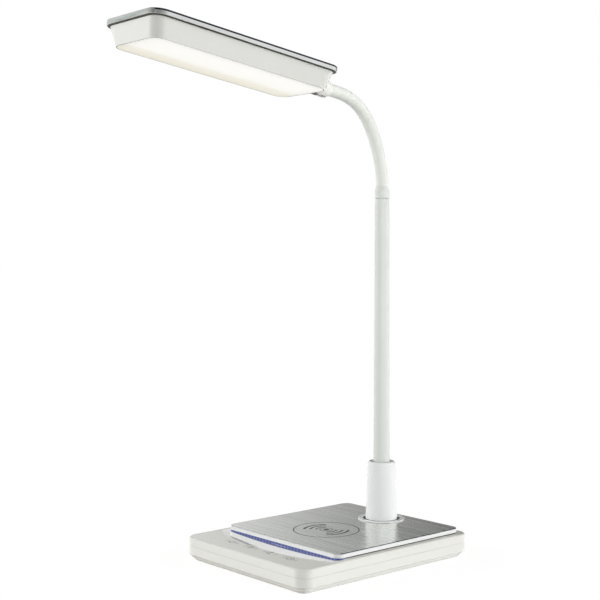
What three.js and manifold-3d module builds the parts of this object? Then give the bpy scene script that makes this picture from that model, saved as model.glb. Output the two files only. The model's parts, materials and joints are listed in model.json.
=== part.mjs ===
// A desk lamp with a flexible neck, a slim LED head and a wireless charging base.
// Millimetres, +Z up. The origin is on the desk under the middle of the base.
// The touch keys are at the front, towards -Y, and the post stands at the back, towards +Y.

import * as THREE from 'three';
import { mergeVertices } from 'three/addons/utils/BufferGeometryUtils.js';
import Module from 'manifold-3d';

const wasm = await Module();
wasm.setup();

// Fits shared by all pieces
const runningGap = 0.3; // between pieces that turn, or that meet at a slant
const seatGap = 0.1; // between level faces that rest on each other in the base
const overrun = 1; // how far a cutting tool passes the face that it cuts
const screwHoleGap = 0.3; // round the shank of every screw

// Facets
const cornerSteps = 5; // on each rounded corner
const roundSides = 32; // on the large round pieces
const smallSides = 12; // on pins, screws and bosses
const neckSides = 16; // round the neck
const ballSteps = 3; // from a neck ball's equator to its pole
const smallestCorner = 0.5; // radius left on a corner that an inset uses up

// Base case
const baseWidth = 160;
const baseDepth = 200;
const baseHeight = 21.2; // top of the case round the charging plate
const baseCorner = 12;
const padProud = 0.4; // how far the pad holds the case off the desk
const chamferInset = 6; // of the slanted underside
const chamferHeight = 5.7;
const partingHeight = 13.7; // where the two halves of the case meet
const partingChamfer = 0.35; // on each half, which draws the parting line
const caseWall = 2.2;
const floorThickness = 2.8;
const topEdgeRound = 1.4;

// Anti-slip pad under the base
const padInset = 14; // from the case's outline
const padCorner = 6;
const padThickness = 1.2;

// Charging plate: a white slab with a thin brushed sheet on it
const slabSideMargin = 6.65; // bare case beside the slab
const slabRearMargin = 7.1;
const frontStrip = 43.9; // bare strip in front of the slab, for the keys
const slabCorner = 7;
const slabLift = 0.7; // shadow gap between the case and the slab
const slabThickness = 3.3;
const slabEdgeChamfer = 0.35;
const sheetThickness = 0.5;
const sheetInset = 0.25;
const riserInset = 3; // of the step on the case that carries the slab

// Light line under the plate's front edge
const lightLineInset = 0.5; // from the slab's outline
const lightLineWidth = 2;
const lightLineHeight = 1.1;
const lightLineReturn = 17; // how far it runs back along each side
const lightFootWidth = 60; // of the foot that takes the light in
const lightBoardWidth = 84;
const lightBoardDepth = 8;
const lightBoardThickness = 1.3;

// Charging coil and its boards, under the middle of the plate
const coilCentre = -3; // along Y, from the middle of the base
const coilRadius = 25;
const coilHoleRadius = 10;
const coilThickness = 1.1;
const coilPocketGap = 2; // round the coil, in the case's roof
const coilRoof = 1.3; // plastic left above the coil
const ferriteThickness = 0.8;
const carrierDepth = 58;
const carrierThickness = 1.5;
const carrierCorner = 4;
const chargerBoardThickness = 1.6;
const carrierScrewSpacing = 64; // between its two screws, left and right
const carrierScrewEnd = 5; // from a screw to the end of the carrier
const carrierWidth = carrierScrewSpacing + 2 * carrierScrewEnd;
const boardPostRadius = 3;

// Touch keys: four electrodes on a board, under the bare front strip
const keyRowSetback = 19.5; // from the case's front
const keyCount = 4;
const firstKeyGap = 23; // from the left case screw to the first key
const lastKeyGap = 19; // from the last key to the right case screw
const electrodeRadius = 6;
const electrodeThickness = 0.3;
const keyFilmEndInset = 2; // from the board's ends
const keyFilmDepth = 14;
const keyFilmThickness = 0.2;
const keyBoardEndGap = 2.4; // between the board and the case's screw posts
const keyBoardDepth = 22;
const keyBoardThickness = 1.4;

// Steel weight on the floor of the base
const weightSideGap = 11; // from the case's sides
const weightFrontGap = 26; // from the case's front
const weightBackGap = 8.3; // in front of the swivel bracket
const weightThickness = 6.2;
const weightCorner = 5;

// Power inlet in the rear wall
const inletBodyWidth = 9;
const inletBodyDepth = 9.5;
const inletBodyHeight = 10.4;
const inletBarrelRadius = 4;
const inletBoreRadius = 3.2;
const inletBoreDepth = 9;
const inletPinRadius = 1;
const inletPinSetback = 1.2; // of the pin's tip behind the barrel's mouth
const inletRestDepth = 7; // of the rest that carries the inlet

// Screws
const screwRadius = 1.5;
const screwHeadRadius = 2.8;
const screwHeadHeight = 1.5;
const smallScrewRadius = 1.2;
const smallScrewHeadRadius = 2.3;
const smallScrewHeadHeight = 1.3;
const caseScrewInset = 20; // from the case's outline
const bossRadius = 3.6;
const caseScrewLength = 13;
const counterboreDepth = 3.4; // from the underside of the case

// Swivel under the post
const postSetback = 32.7; // from the case's rear
const trimRingOuter = 21.5;
const trimRingInner = 17;
const trimRingSleeve = 19;
const trimRingProud = 0.8;
const trimRingRound = 0.4;
const footRadius = 15.9; // of the post's foot inside the ring
const footProud = 0.5; // above the charging plate
const flangeRadius = 19.4;
const flangeThickness = 3;
const slideWasherThickness = 1.7;
const frictionWasherThickness = 1.2;
const frictionWasherRadius = 14;
const bracketThickness = 2;
const bracketDepth = 34;
const bracketCorner = 4;
const bracketScrewSpacing = 60;
const bracketScrewEnd = 8; // from a screw to the end of the bracket
const bracketLength = bracketScrewSpacing + 2 * bracketScrewEnd;
const bracketBossRadius = 4.6;
const bracketScrewLength = 7.5;
const shaftRadius = 6;
const shaftBore = 3.5;
const shaftThreadLength = 16; // screwed into the post
const nutThickness = 3;
const nutAcrossFlats = 17;
const shaftTail = 1.2; // past the nut

// Post and stem
const postFootRadius = 14.65;
const postTopRadius = 12.9;
const postTop = 79.6;
const postRimRound = 2.6;
const postMouthRadius = 9.6;
const postMouthDepth = 5;
const stemSeat = 44; // height of the stem's foot inside the post
const stemFootRadius = 7.6;
const stemTopRadius = 6.65;
const stemWall = 1.6;
const stemTop = 321.8;

// Flexible neck: a chain of short hollow links, each with a ball at its foot and a cup at its top
const neckRadius = 5.6;
const neckBore = 1.8;
const neckPitch = 10.4; // from ball to ball
const firstBallRise = 14.4; // of the lowest ball above the stem's top
const firstBall = stemTop + firstBallRise;
const cupDrop = 2.6; // from a ball's centre down to the rim of the cup that holds it
const ferruleChamfer = 4.6; // length of the cone on the ferrule's top
const ferruleSpigot = 9; // inside the stem
const headTilt = 7.73; // degrees that the head's free end points up
const neckBend = 90 - headTilt; // degrees, from the stem to the head
const neckBendShares = [0.076, 0.068, 0.060, 0.057, 0.064, 0.085, 0.116, 0.145, 0.150, 0.118, 0.061];
const endLinkLength = 14.1;

// Coupler between the neck and the head, with the tilt hinge's fork
const couplerStart = 11.6; // from the last ball
const couplerMouthRadius = 6.5;
const couplerMouthLength = 1;
const couplerFlareLength = 2.6;
const couplerRadius = 8.25;
const pivotReach = 23; // from the last ball to the tilt pin
const tongueThickness = 6;
const tongueRadius = 7.4;
const pinRadius = 2;
const pinEndSetback = 0.6; // of the pin's ends in the coupler's sides

// Head: a metal lid on a tapered housing
const headReach = 30.55; // from the last ball to the lid's edge
const headRise = 10.29; // from the neck's axis to the lid's top
const headWidth = 76;
const headLength = 192;
const headThickness = 20.7;
const lidCorner = 12;
const housingCorner = 10;
const lidRimHeight = 4.5;
const lidSheet = 1.2;
const lidEdgeRound = 0.5;
const lidGap = 0.75; // dark gap between the lid's rim and the housing
const gasketWidth = 2.1;
const housingTopInset = 2.8;
const housingTaper = 4.35; // further inset at the bottom
const housingWall = 1.8;
const spigotHeight = 3.4;
const spigotWall = 1.4;
const innerStepDepth = 1.2;
const mouthRim = 0.7; // width of the housing's edge round the opal face
const diffuserThickness = 1.7;
const ribReach = 2.7; // how far the rib over the opal face stands in from the rim
const ribHeight = 0.8;
const lightGuideThickness = 3;
const ledStripThickness = 1.2;
const ledStripHeight = 2.7;
const ledStripEndGap = 18; // left free at each end of a strip
const reflectorThickness = 0.3;
const spreaderThickness = 1.5;
const footPlateLength = 22;
const footPlateThickness = 2.2;
const footScrewSpacing = 15;
const footScrewEnd = 4.5; // from a screw to the side of the foot
const footPlateWidth = footScrewSpacing + 2 * footScrewEnd;

// Heights worked out from the sizes above
const caseBottom = padProud;
const wallBottom = caseBottom + chamferHeight;
const floorTop = caseBottom + floorThickness;
const roofUnder = baseHeight - caseWall;
const slabBottom = baseHeight + slabLift;
const riserTop = slabBottom - seatGap;
const slabTop = slabBottom + slabThickness;
const sheetTop = slabTop + seatGap + sheetThickness;
const rightAngle = Math.PI / 2;

// Places seen from above
const slabWidth = baseWidth - 2 * slabSideMargin;
const slabFront = frontStrip - baseDepth / 2;
const slabBack = baseDepth / 2 - slabRearMargin;
const slabCentreY = (slabFront + slabBack) / 2;
const slabDepth = slabBack - slabFront;
const caseScrewX = baseWidth / 2 - caseScrewInset;
const caseScrewY = baseDepth / 2 - caseScrewInset;
const postY = baseDepth / 2 - postSetback;
const keyRow = keyRowSetback - baseDepth / 2;
const keyRowStart = firstKeyGap - caseScrewX;
const keySpacing = (caseScrewX - lastKeyGap - keyRowStart) / (keyCount - 1);
const keyBoardWidth = 2 * (caseScrewX - bossRadius - keyBoardEndGap);
const keyFilmWidth = keyBoardWidth - 2 * keyFilmEndInset;
const weightWidth = baseWidth - 2 * weightSideGap;
const weightFront = weightFrontGap - baseDepth / 2;
const weightBack = postY - bracketDepth / 2 - weightBackGap;

// Swivel stack, from the case's roof down: washer, the post's flange, washer, bracket, nut
const slideWasherLow = roofUnder - runningGap - slideWasherThickness;
const flangeTop = slideWasherLow - runningGap;
const flangeLow = flangeTop - flangeThickness;
const frictionWasherLow = flangeLow - runningGap - frictionWasherThickness;
const bracketTop = frictionWasherLow - runningGap;
const bracketLow = bracketTop - bracketThickness;
const bracketBossTop = bracketLow - seatGap;
const nutTop = bracketLow - runningGap;
const nutLow = nutTop - nutThickness;

// Boards and coil hang under the roof, each on the one above it
const coilTop = riserTop - coilRoof - seatGap;
const coilLow = coilTop - coilThickness;
const ferriteTop = coilLow - seatGap;
const ferriteLow = ferriteTop - ferriteThickness;
const carrierTop = ferriteLow - seatGap;
const carrierLow = carrierTop - carrierThickness;
const chargerBoardTop = carrierLow - seatGap;
const chargerBoardLow = chargerBoardTop - chargerBoardThickness;
const electrodeTop = roofUnder - seatGap;
const electrodeLow = electrodeTop - keyFilmThickness - electrodeThickness;
const keyBoardTop = electrodeLow - seatGap;
const keyBoardLow = keyBoardTop - keyBoardThickness;
const carrierScrewX = carrierScrewSpacing / 2;
const lightBoardTop = roofUnder - 2 * seatGap;
const lightLineLow = baseHeight + seatGap;
const lightLineTop = lightLineLow + lightLineHeight;
const lightLineBack = slabFront + lightLineReturn;

const lamp = new THREE.Group();

// A rounded rectangle seen from above: half sizes, corner radius and centre.
function outline(width, depth, corner, y = 0) {
  return { halfX: width / 2, halfY: depth / 2, corner, y };
}

// The points of a rounded rectangle at one height, counter-clockwise, moved in by an inset.
function loopOf(shape, inset, z) {
  const halfX = shape.halfX - inset;
  const halfY = shape.halfY - inset;
  const radius = Math.max(shape.corner - inset, smallestCorner);
  const points = [];
  for (let quarter = 0; quarter < 4; quarter++) {
    const signX = quarter === 0 || quarter === 3 ? 1 : -1;
    const signY = quarter < 2 ? 1 : -1;
    for (let step = 0; step <= cornerSteps; step++) {
      const angle = (quarter + step / cornerSteps) * rightAngle;
      const x = signX * (halfX - radius) + radius * Math.cos(angle);
      const y = shape.y + signY * (halfY - radius) + radius * Math.sin(angle);
      points.push(new THREE.Vector3(x, y, z));
    }
  }
  return points;
}

// A circle of points at one height.
function circle(radius, z, sides) {
  const points = [];
  for (let side = 0; side < sides; side++) {
    const angle = side / sides * 4 * rightAngle;
    points.push(new THREE.Vector3(radius * Math.cos(angle), radius * Math.sin(angle), z));
  }
  return points;
}

// Turns a closed mesh the right way round: a mesh whose signed volume is negative faces inwards.
function facingOut(geometry) {
  const position = geometry.getAttribute('position');
  const index = geometry.getIndex().array;
  const [a, b, c] = [new THREE.Vector3(), new THREE.Vector3(), new THREE.Vector3()];
  let volume = 0;
  for (let i = 0; i < index.length; i += 3) {
    a.fromBufferAttribute(position, index[i]);
    b.fromBufferAttribute(position, index[i + 1]);
    c.fromBufferAttribute(position, index[i + 2]);
    volume += a.dot(b.cross(c));
  }
  if (volume < 0) {
    geometry.setIndex(Array.from(index).reverse());
  }
  return geometry;
}

// A skin over a row of loops with equal counts of points. The ends are capped with fans,
// or the last loop joins the first, which makes a ring.
function loft(loops, joinsItself = false) {
  const count = loops[0].length;
  const points = loops.flat();
  const index = [];
  const bands = joinsItself ? loops.length : loops.length - 1;
  for (let band = 0; band < bands; band++) {
    const here = band * count;
    const next = (band + 1) % loops.length * count;
    for (let i = 0; i < count; i++) {
      const j = (i + 1) % count;
      index.push(here + i, here + j, next + j, here + i, next + j, next + i);
    }
  }
  if (!joinsItself) {
    for (const [loop, start, side] of [[loops[0], 0, 1], [loops.at(-1), points.length - count, 0]]) {
      const middle = loop.reduce((sum, p) => sum.add(p), new THREE.Vector3()).divideScalar(count);
      const hub = points.push(middle) - 1;
      for (let i = 0; i < count; i++) {
        const j = (i + 1) % count;
        index.push(hub, start + (side ? j : i), start + (side ? i : j));
      }
    }
  }
  const geometry = new THREE.BufferGeometry();
  geometry.setAttribute('position', new THREE.Float32BufferAttribute(points.flatMap((p) => p.toArray()), 3));
  geometry.setIndex(index);
  return facingOut(geometry);
}

// A solid of revolution about Z. Its profile is a list of [radius, height].
// With a bore, the profile runs down the bore's wall as well and closes on itself.
function turned(profile, sides, bore = 0) {
  const loops = profile.map(([radius, z]) => circle(radius, z, sides));
  if (bore === 0) {
    return loft(loops);
  }
  loops.push(circle(bore, profile.at(-1)[1], sides), circle(bore, profile[0][1], sides));
  return loft(loops, true);
}

// A straight cylinder, or a ring when it has a bore.
function disc(radius, low, high, sides = smallSides, bore = 0) {
  return turned([[radius, low], [radius, high]], sides, bore);
}

// A box given by its lowest and highest corners.
function block(low, high) {
  const size = high.map((value, axis) => value - low[axis]);
  const geometry = new THREE.BoxGeometry(...size);
  return geometry.translate(...low.map((value, axis) => value + size[axis] / 2));
}

// A flat plate or a prism with rounded corners between two heights.
function plate(shape, inset, low, high) {
  return loft([loopOf(shape, inset, low), loopOf(shape, inset, high)]);
}

// Lays a piece turned about Z along X, or along Y.
function alongX(geometry) {
  return geometry.rotateY(rightAngle);
}
function alongY(geometry) {
  return geometry.rotateX(-rightAngle);
}

function toSolid(geometry) {
  const bare = geometry.index ? geometry.clone() : geometry;
  bare.deleteAttribute('normal');
  bare.deleteAttribute('uv');
  const merged = mergeVertices(bare);
  return new wasm.Manifold(new wasm.Mesh({
    numProp: 3,
    vertProperties: new Float32Array(merged.getAttribute('position').array),
    triVerts: new Uint32Array(merged.getIndex().array),
  }));
}

function fromSolid(solid) {
  const mesh = solid.getMesh();
  const geometry = new THREE.BufferGeometry();
  geometry.setAttribute('position', new THREE.Float32BufferAttribute(mesh.vertProperties, 3));
  geometry.setIndex(Array.from(mesh.triVerts));
  return geometry;
}

function cut(geometry, ...tools) {
  return fromSolid(tools.reduce((solid, tool) => solid.subtract(toSolid(tool)), toSolid(geometry)));
}

function join(geometry, ...others) {
  return fromSolid(others.reduce((solid, other) => solid.add(toSolid(other)), toSolid(geometry)));
}

function overlapOf(geometry, other) {
  return fromSolid(toSolid(geometry).intersect(toSolid(other)));
}

// Adds one named piece to a group, with a material of its own.
function piece(group, name, geometry, [color, roughness, metalness = 0]) {
  const material = new THREE.MeshStandardMaterial({ color, roughness, metalness });
  const mesh = new THREE.Mesh(geometry, material);
  mesh.name = name;
  group.add(mesh);
  return mesh;
}

// Finishes: colour, roughness and metalness
const whiteShell = [0xeeeeea, 0.3];
const whiteGloss = [0xf2f2f0, 0.15];
const paintedTube = [0xdfe1dc, 0.45];
const softSleeve = [0xdcded8, 0.55];
const brushedMetal = [0xb4b7b5, 0.32, 1];
const darkRubber = [0x26262a, 0.7];
const darkMetal = [0x3c3a38, 0.4, 0.8];
const steel = [0xa7a9ab, 0.35, 1];
const boardGreen = [0x1f5a3a, 0.5];
const copper = [0xb66b3c, 0.35, 1];
const ferriteGrey = [0x303034, 0.6];
const clearGuide = [0xf4f6f4, 0.1];
const opalFace = [0xfffdf4, 0.4];
const blueGlow = [0x3f5be0, 0.3];
const slidePlastic = [0xd8d4c4, 0.4];

// A screw on its own axis: a head that hangs below its seat and a shank that points up.
// Its sizes are the shank's radius, the head's radius and the head's height.
const largeScrew = [screwRadius, screwHeadRadius, screwHeadHeight];
const smallScrew = [smallScrewRadius, smallScrewHeadRadius, smallScrewHeadHeight];

function screw(x, y, seat, length, [shank, head, headHeight] = largeScrew) {
  const profile = [[head, seat - headHeight], [head, seat], [shank, seat], [shank, seat + length]];
  return turned(profile, smallSides).translate(x, y, 0);
}

// The four corners of a rectangle about a centre.
function fourCorners(x, y, centreY = 0) {
  return [[-x, centreY - y], [x, centreY - y], [x, centreY + y], [-x, centreY + y]];
}

const caseOutline = outline(baseWidth, baseDepth, baseCorner);
const padOutline = outline(baseWidth - 2 * padInset, baseDepth - 2 * padInset, padCorner);
const slabOutline = outline(slabWidth, slabDepth, slabCorner, slabCentreY);

// Power inlet: a round mouth in the rear wall, on the parting line of the two halves
const inletMouth = () => alongY(disc(inletBarrelRadius + runningGap, -baseDepth, 0, roundSides / 2))
  .translate(0, baseDepth / 2 + overrun, partingHeight);
const inletRear = baseDepth / 2 - caseWall - runningGap;
const inletFront = inletRear - inletBodyDepth;

function inletGeometry() {
  const half = inletBodyWidth / 2;
  const low = partingHeight - inletBodyHeight / 2;
  const body = block([-half, inletFront, low], [half, inletRear, low + inletBodyHeight]);
  const mouth = baseDepth / 2 - runningGap;
  const barrel = alongY(disc(inletBarrelRadius, 0, mouth - inletFront - overrun, roundSides / 2))
    .translate(0, inletFront + overrun, partingHeight);
  const bore = alongY(disc(inletBoreRadius, 0, inletBoreDepth + overrun, roundSides / 2))
    .translate(0, mouth - inletBoreDepth, partingHeight);
  const pin = alongY(disc(inletPinRadius, 0, inletBoreDepth - inletPinSetback + overrun, smallSides))
    .translate(0, mouth - inletBoreDepth - overrun, partingHeight);
  return join(cut(join(body, barrel), bore), pin);
}

// Lower half of the case: a tray with a slanted underside and a recess for the pad
function lowerCaseGeometry() {
  const recessRoof = caseBottom + padThickness - padProud + seatGap;
  const rim = partingHeight - seatGap / 2;
  const tray = loft([
    loopOf(padOutline, -runningGap, recessRoof),
    loopOf(padOutline, -runningGap, caseBottom),
    loopOf(caseOutline, chamferInset, caseBottom),
    loopOf(caseOutline, 0, wallBottom),
    loopOf(caseOutline, 0, rim - partingChamfer),
    loopOf(caseOutline, partingChamfer, rim),
    loopOf(caseOutline, caseWall, rim),
    loopOf(caseOutline, caseWall, floorTop),
  ]);
  const bosses = [];
  const holes = [inletMouth()];
  for (const [x, y] of fourCorners(caseScrewX, caseScrewY)) {
    bosses.push(disc(bossRadius, caseBottom + padThickness, rim).translate(x, y, 0));
    holes.push(disc(screwRadius + screwHoleGap, caseBottom, rim + overrun).translate(x, y, 0));
    const counterbore = disc(screwHeadRadius + screwHoleGap, 0, caseBottom + counterboreDepth);
    holes.push(counterbore.translate(x, y, 0));
  }
  for (const side of [-1, 1]) {
    const x = side * bracketScrewSpacing / 2;
    bosses.push(disc(bracketBossRadius, floorTop - overrun, bracketBossTop).translate(x, postY, 0));
    holes.push(disc(screwRadius + screwHoleGap, floorTop, bracketBossTop + overrun).translate(x, postY, 0));
  }
  const restTop = partingHeight - inletBodyHeight / 2 - seatGap;
  const restHalf = inletBodyWidth / 2;
  const restFront = inletRear - (inletBodyDepth + inletRestDepth) / 2;
  const rest = block(
    [-restHalf, restFront, floorTop - overrun],
    [restHalf, restFront + inletRestDepth, restTop],
  );
  return cut(join(tray, ...bosses, rest), ...holes);
}

// Upper half of the case: a lid with a rounded edge, and a step that carries the charging plate
function upperCaseGeometry() {
  const rim = partingHeight + seatGap / 2;
  const arc = (share) => [
    topEdgeRound * (1 - Math.cos(share * rightAngle)),
    baseHeight - topEdgeRound * (1 - Math.sin(share * rightAngle)),
  ];
  const edgeShares = [0, 1 / 3, 2 / 3, 1];
  const shell = loft([
    loopOf(caseOutline, caseWall, roofUnder),
    loopOf(caseOutline, caseWall, rim),
    loopOf(caseOutline, partingChamfer, rim),
    loopOf(caseOutline, 0, rim + partingChamfer),
    ...edgeShares.map((share) => loopOf(caseOutline, ...arc(share))),
    loopOf(slabOutline, riserInset, baseHeight),
    loopOf(slabOutline, riserInset, riserTop),
  ]);
  const posts = [];
  const holes = [
    inletMouth(),
    disc(trimRingInner, roofUnder - overrun, riserTop + overrun, roundSides).translate(0, postY, 0),
    disc(coilRadius + coilPocketGap, roofUnder - overrun, riserTop - coilRoof, roundSides)
      .translate(0, coilCentre, 0),
    lightFootSlot(),
  ];
  for (const [x, y] of fourCorners(caseScrewX, caseScrewY)) {
    posts.push(disc(bossRadius, rim, roofUnder + overrun).translate(x, y, 0));
    holes.push(disc(screwRadius + screwHoleGap, rim - overrun, roofUnder - screwHoleGap).translate(x, y, 0));
  }
  for (const side of [-1, 1]) {
    const x = side * carrierScrewX;
    posts.push(disc(boardPostRadius, carrierTop + seatGap, roofUnder + overrun).translate(x, coilCentre, 0));
    const hole = disc(smallScrewRadius + screwHoleGap, carrierTop, roofUnder + overrun);
    holes.push(hole.translate(x, coilCentre, 0));
  }
  return cut(join(shell, ...posts), ...holes);
}

// The light line is a strip that follows the slab's outline round its two front corners.
function frontRing(outerInset, innerInset, low, high, back) {
  const ring = loft([
    loopOf(slabOutline, outerInset, low),
    loopOf(slabOutline, outerInset, high),
    loopOf(slabOutline, innerInset, high),
    loopOf(slabOutline, innerInset, low),
  ], true);
  const keep = block([-slabWidth, -baseDepth, low - overrun], [slabWidth, back, high + overrun]);
  return overlapOf(ring, keep);
}

function lightLineGeometry() {
  const inner = lightLineInset + lightLineWidth;
  const strip = frontRing(lightLineInset, inner, lightLineLow, lightLineTop, lightLineBack);
  const front = slabFront + lightLineInset;
  const foot = block(
    [-lightFootWidth / 2, front + runningGap, roofUnder - seatGap],
    [lightFootWidth / 2, front + lightLineWidth - runningGap, lightLineTop - seatGap],
  );
  return join(strip, foot);
}

function lightFootSlot() {
  const front = slabFront + lightLineInset;
  return block(
    [-lightFootWidth / 2 - runningGap, front, roofUnder - overrun],
    [lightFootWidth / 2 + runningGap, front + lightLineWidth, baseHeight + overrun],
  );
}

function slabGeometry() {
  const slab = loft([
    loopOf(slabOutline, slabEdgeChamfer, slabBottom),
    loopOf(slabOutline, 0, slabBottom + slabEdgeChamfer),
    loopOf(slabOutline, 0, slabTop - slabEdgeChamfer),
    loopOf(slabOutline, slabEdgeChamfer, slabTop),
  ]);
  const rebate = frontRing(
    -overrun,
    lightLineInset + lightLineWidth + runningGap,
    slabBottom - overrun,
    lightLineTop + runningGap,
    lightLineBack + runningGap,
  );
  return cut(slab, rebate, postHole(slabBottom, slabTop));
}

// The hole through the charging plate for the trim ring
function postHole(low, high) {
  return disc(trimRingSleeve + runningGap, low - overrun, high + overrun, roundSides).translate(0, postY, 0);
}

function trimRingGeometry() {
  const low = sheetTop + seatGap;
  const high = sheetTop + trimRingProud;
  const profile = [
    [trimRingSleeve, riserTop + seatGap],
    [trimRingSleeve, low],
    [trimRingOuter, low],
    [trimRingOuter, high - trimRingRound],
    [trimRingOuter - trimRingRound, high],
    [trimRingInner + trimRingRound, high],
    [trimRingInner, high - trimRingRound],
    [trimRingInner, riserTop + seatGap],
  ];
  return loft(profile.map(([radius, z]) => circle(radius, z, roundSides)), true).translate(0, postY, 0);
}

function counterweightGeometry() {
  const depth = weightBack - weightFront;
  const shape = outline(weightWidth, depth, weightCorner, (weightFront + weightBack) / 2);
  return plate(shape, 0, floorTop + seatGap, floorTop + seatGap + weightThickness);
}

function bracketGeometry() {
  const shape = outline(bracketLength, bracketDepth, bracketCorner, postY);
  const shaftHole = disc(shaftRadius + runningGap, bracketLow - overrun, bracketTop + overrun);
  const holes = [shaftHole.translate(0, postY, 0)];
  for (const side of [-1, 1]) {
    const hole = disc(screwRadius + screwHoleGap, bracketLow - overrun, bracketTop + overrun);
    holes.push(hole.translate(side * bracketScrewSpacing / 2, postY, 0));
  }
  return cut(plate(shape, 0, bracketLow, bracketTop), ...holes);
}

// A square board or tray under the coil, with a screw hole at its left and its right
function carrierPlate(low, high) {
  const shape = outline(carrierWidth, carrierDepth, carrierCorner, coilCentre);
  const holes = [-1, 1].map((side) => disc(smallScrewRadius + screwHoleGap, low - overrun, high + overrun)
    .translate(side * carrierScrewX, coilCentre, 0));
  return cut(plate(shape, 0, low, high), ...holes);
}

// A level rectangle centred on the row of keys
function keyBlock(width, depth, low, high) {
  return block([-width / 2, keyRow - depth / 2, low], [width / 2, keyRow + depth / 2, high]);
}

// A thin film under the roof, with a round electrode on its lower side for each key
function touchFilmGeometry() {
  const film = keyBlock(keyFilmWidth, keyFilmDepth, electrodeTop - keyFilmThickness, electrodeTop);
  const discs = [];
  for (let key = 0; key < keyCount; key++) {
    const x = keyRowStart + key * keySpacing;
    const electrode = disc(electrodeRadius, electrodeLow, electrodeTop - keyFilmThickness / 2);
    discs.push(electrode.translate(x, keyRow, 0));
  }
  return join(film, ...discs);
}

function lightBoardGeometry() {
  const centre = slabFront + lightLineInset + lightLineWidth / 2;
  return block(
    [-lightBoardWidth / 2, centre - lightBoardDepth / 2, lightBoardTop - lightBoardThickness],
    [lightBoardWidth / 2, centre + lightBoardDepth / 2, lightBoardTop],
  );
}

const base = new THREE.Group();
lamp.add(base);
piece(base, 'anti_slip_pad', plate(padOutline, 0, 0, padThickness), darkRubber);
piece(base, 'lower_case', lowerCaseGeometry(), whiteShell);
piece(base, 'upper_case', upperCaseGeometry(), whiteShell);
fourCorners(caseScrewX, caseScrewY).forEach(([x, y], number) => {
  const seat = caseBottom + counterboreDepth - seatGap;
  piece(base, `case_screw_${number + 1}`, screw(x, y, seat, caseScrewLength), steel);
});
piece(base, 'counterweight', counterweightGeometry(), steel);
piece(base, 'charging_slab', slabGeometry(), whiteGloss);
piece(base, 'brushed_sheet', cut(
  plate(slabOutline, sheetInset, slabTop + seatGap, sheetTop),
  postHole(slabTop, sheetTop),
), brushedMetal);
piece(base, 'post_trim_ring', trimRingGeometry(), whiteGloss);
piece(base, 'light_line', lightLineGeometry(), blueGlow);
piece(base, 'light_line_board', lightBoardGeometry(), boardGreen);
piece(base, 'charging_coil', disc(coilRadius, coilLow, coilTop, roundSides, coilHoleRadius)
  .translate(0, coilCentre, 0), copper);
piece(base, 'coil_ferrite', disc(coilRadius, ferriteLow, ferriteTop, roundSides)
  .translate(0, coilCentre, 0), ferriteGrey);
piece(base, 'coil_carrier', carrierPlate(carrierLow, carrierTop), slidePlastic);
piece(base, 'charger_board', carrierPlate(chargerBoardLow, chargerBoardTop), boardGreen);
piece(base, 'touch_board', keyBlock(keyBoardWidth, keyBoardDepth, keyBoardLow, keyBoardTop), boardGreen);
piece(base, 'touch_film', touchFilmGeometry(), copper);
piece(base, 'power_inlet', inletGeometry(), darkRubber);
piece(base, 'swivel_bracket', bracketGeometry(), steel);

// A screw that points down is turned over about its own seat.
function screwDown(x, y, seat, length, sizes = largeScrew) {
  return screw(0, 0, 0, length, sizes).rotateX(2 * rightAngle).translate(x, y, seat);
}

for (const [side, name] of [[-1, 'left'], [1, 'right']]) {
  const carrierSeat = chargerBoardLow - seatGap;
  const bracketSeat = bracketTop + seatGap;
  const bracketX = side * bracketScrewSpacing / 2;
  const carrierX = side * carrierScrewX;
  const carrierScrew = screw(carrierX, coilCentre, carrierSeat, roofUnder - carrierSeat, smallScrew);
  piece(base, `carrier_screw_${name}`, carrierScrew, steel);
  piece(base, `bracket_screw_${name}`, screwDown(bracketX, postY, bracketSeat, bracketScrewLength), steel);
}

// The post turns on its shaft. It carries the stem, and the stem carries the neck.
const post = new THREE.Group();
post.position.y = postY;
lamp.add(post);

const shaftTop = flangeLow + shaftThreadLength;

function postGeometry() {
  const plateFace = sheetTop + footProud;
  const rimShares = [0, 1 / 3, 2 / 3, 1];
  const rim = rimShares.map((share) => [
    postTopRadius - postRimRound * (1 - Math.cos(share * rightAngle)),
    postTop - postRimRound * (1 - Math.sin(share * rightAngle)),
  ]);
  const profile = [
    [shaftRadius + runningGap, flangeLow],
    [flangeRadius, flangeLow],
    [flangeRadius, flangeTop],
    [footRadius, flangeTop],
    [footRadius, plateFace - footProud / 2],
    [footRadius - footProud / 2, plateFace],
    [postFootRadius, plateFace],
    ...rim,
    [postMouthRadius, postTop],
    [postMouthRadius, postTop - postMouthDepth],
    [stemFootRadius + runningGap, postTop - postMouthDepth],
    [stemFootRadius + runningGap, stemSeat],
    [shaftBore, stemSeat],
    [shaftBore, shaftTop + runningGap],
    [shaftRadius + runningGap, shaftTop + runningGap],
  ];
  return loft(profile.map(([radius, z]) => circle(radius, z, roundSides)), true);
}

function nutGeometry() {
  const corner = nutAcrossFlats / 2 / Math.cos(rightAngle / 3);
  const hole = disc(shaftRadius + runningGap, nutLow - overrun, nutTop + overrun);
  return cut(disc(corner, nutLow, nutTop, 6), hole);
}

function stemGeometry() {
  const radiusAt = (z) => THREE.MathUtils.mapLinear(z, postTop, stemTop, stemFootRadius, stemTopRadius);
  const foot = stemSeat + runningGap;
  const profile = [
    [stemFootRadius, foot],
    [stemFootRadius, postTop],
    [radiusAt(stemTop), stemTop],
    [stemTopRadius - stemWall, stemTop],
    [stemTopRadius - stemWall, foot],
  ];
  return loft(profile.map(([radius, z]) => circle(radius, z, roundSides)), true);
}

// The cup that holds a ball: rings on a sphere a running gap larger than the ball, rim first
const cupRadius = neckRadius + runningGap;
const cupRimAngle = Math.asin(cupDrop / cupRadius);

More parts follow.
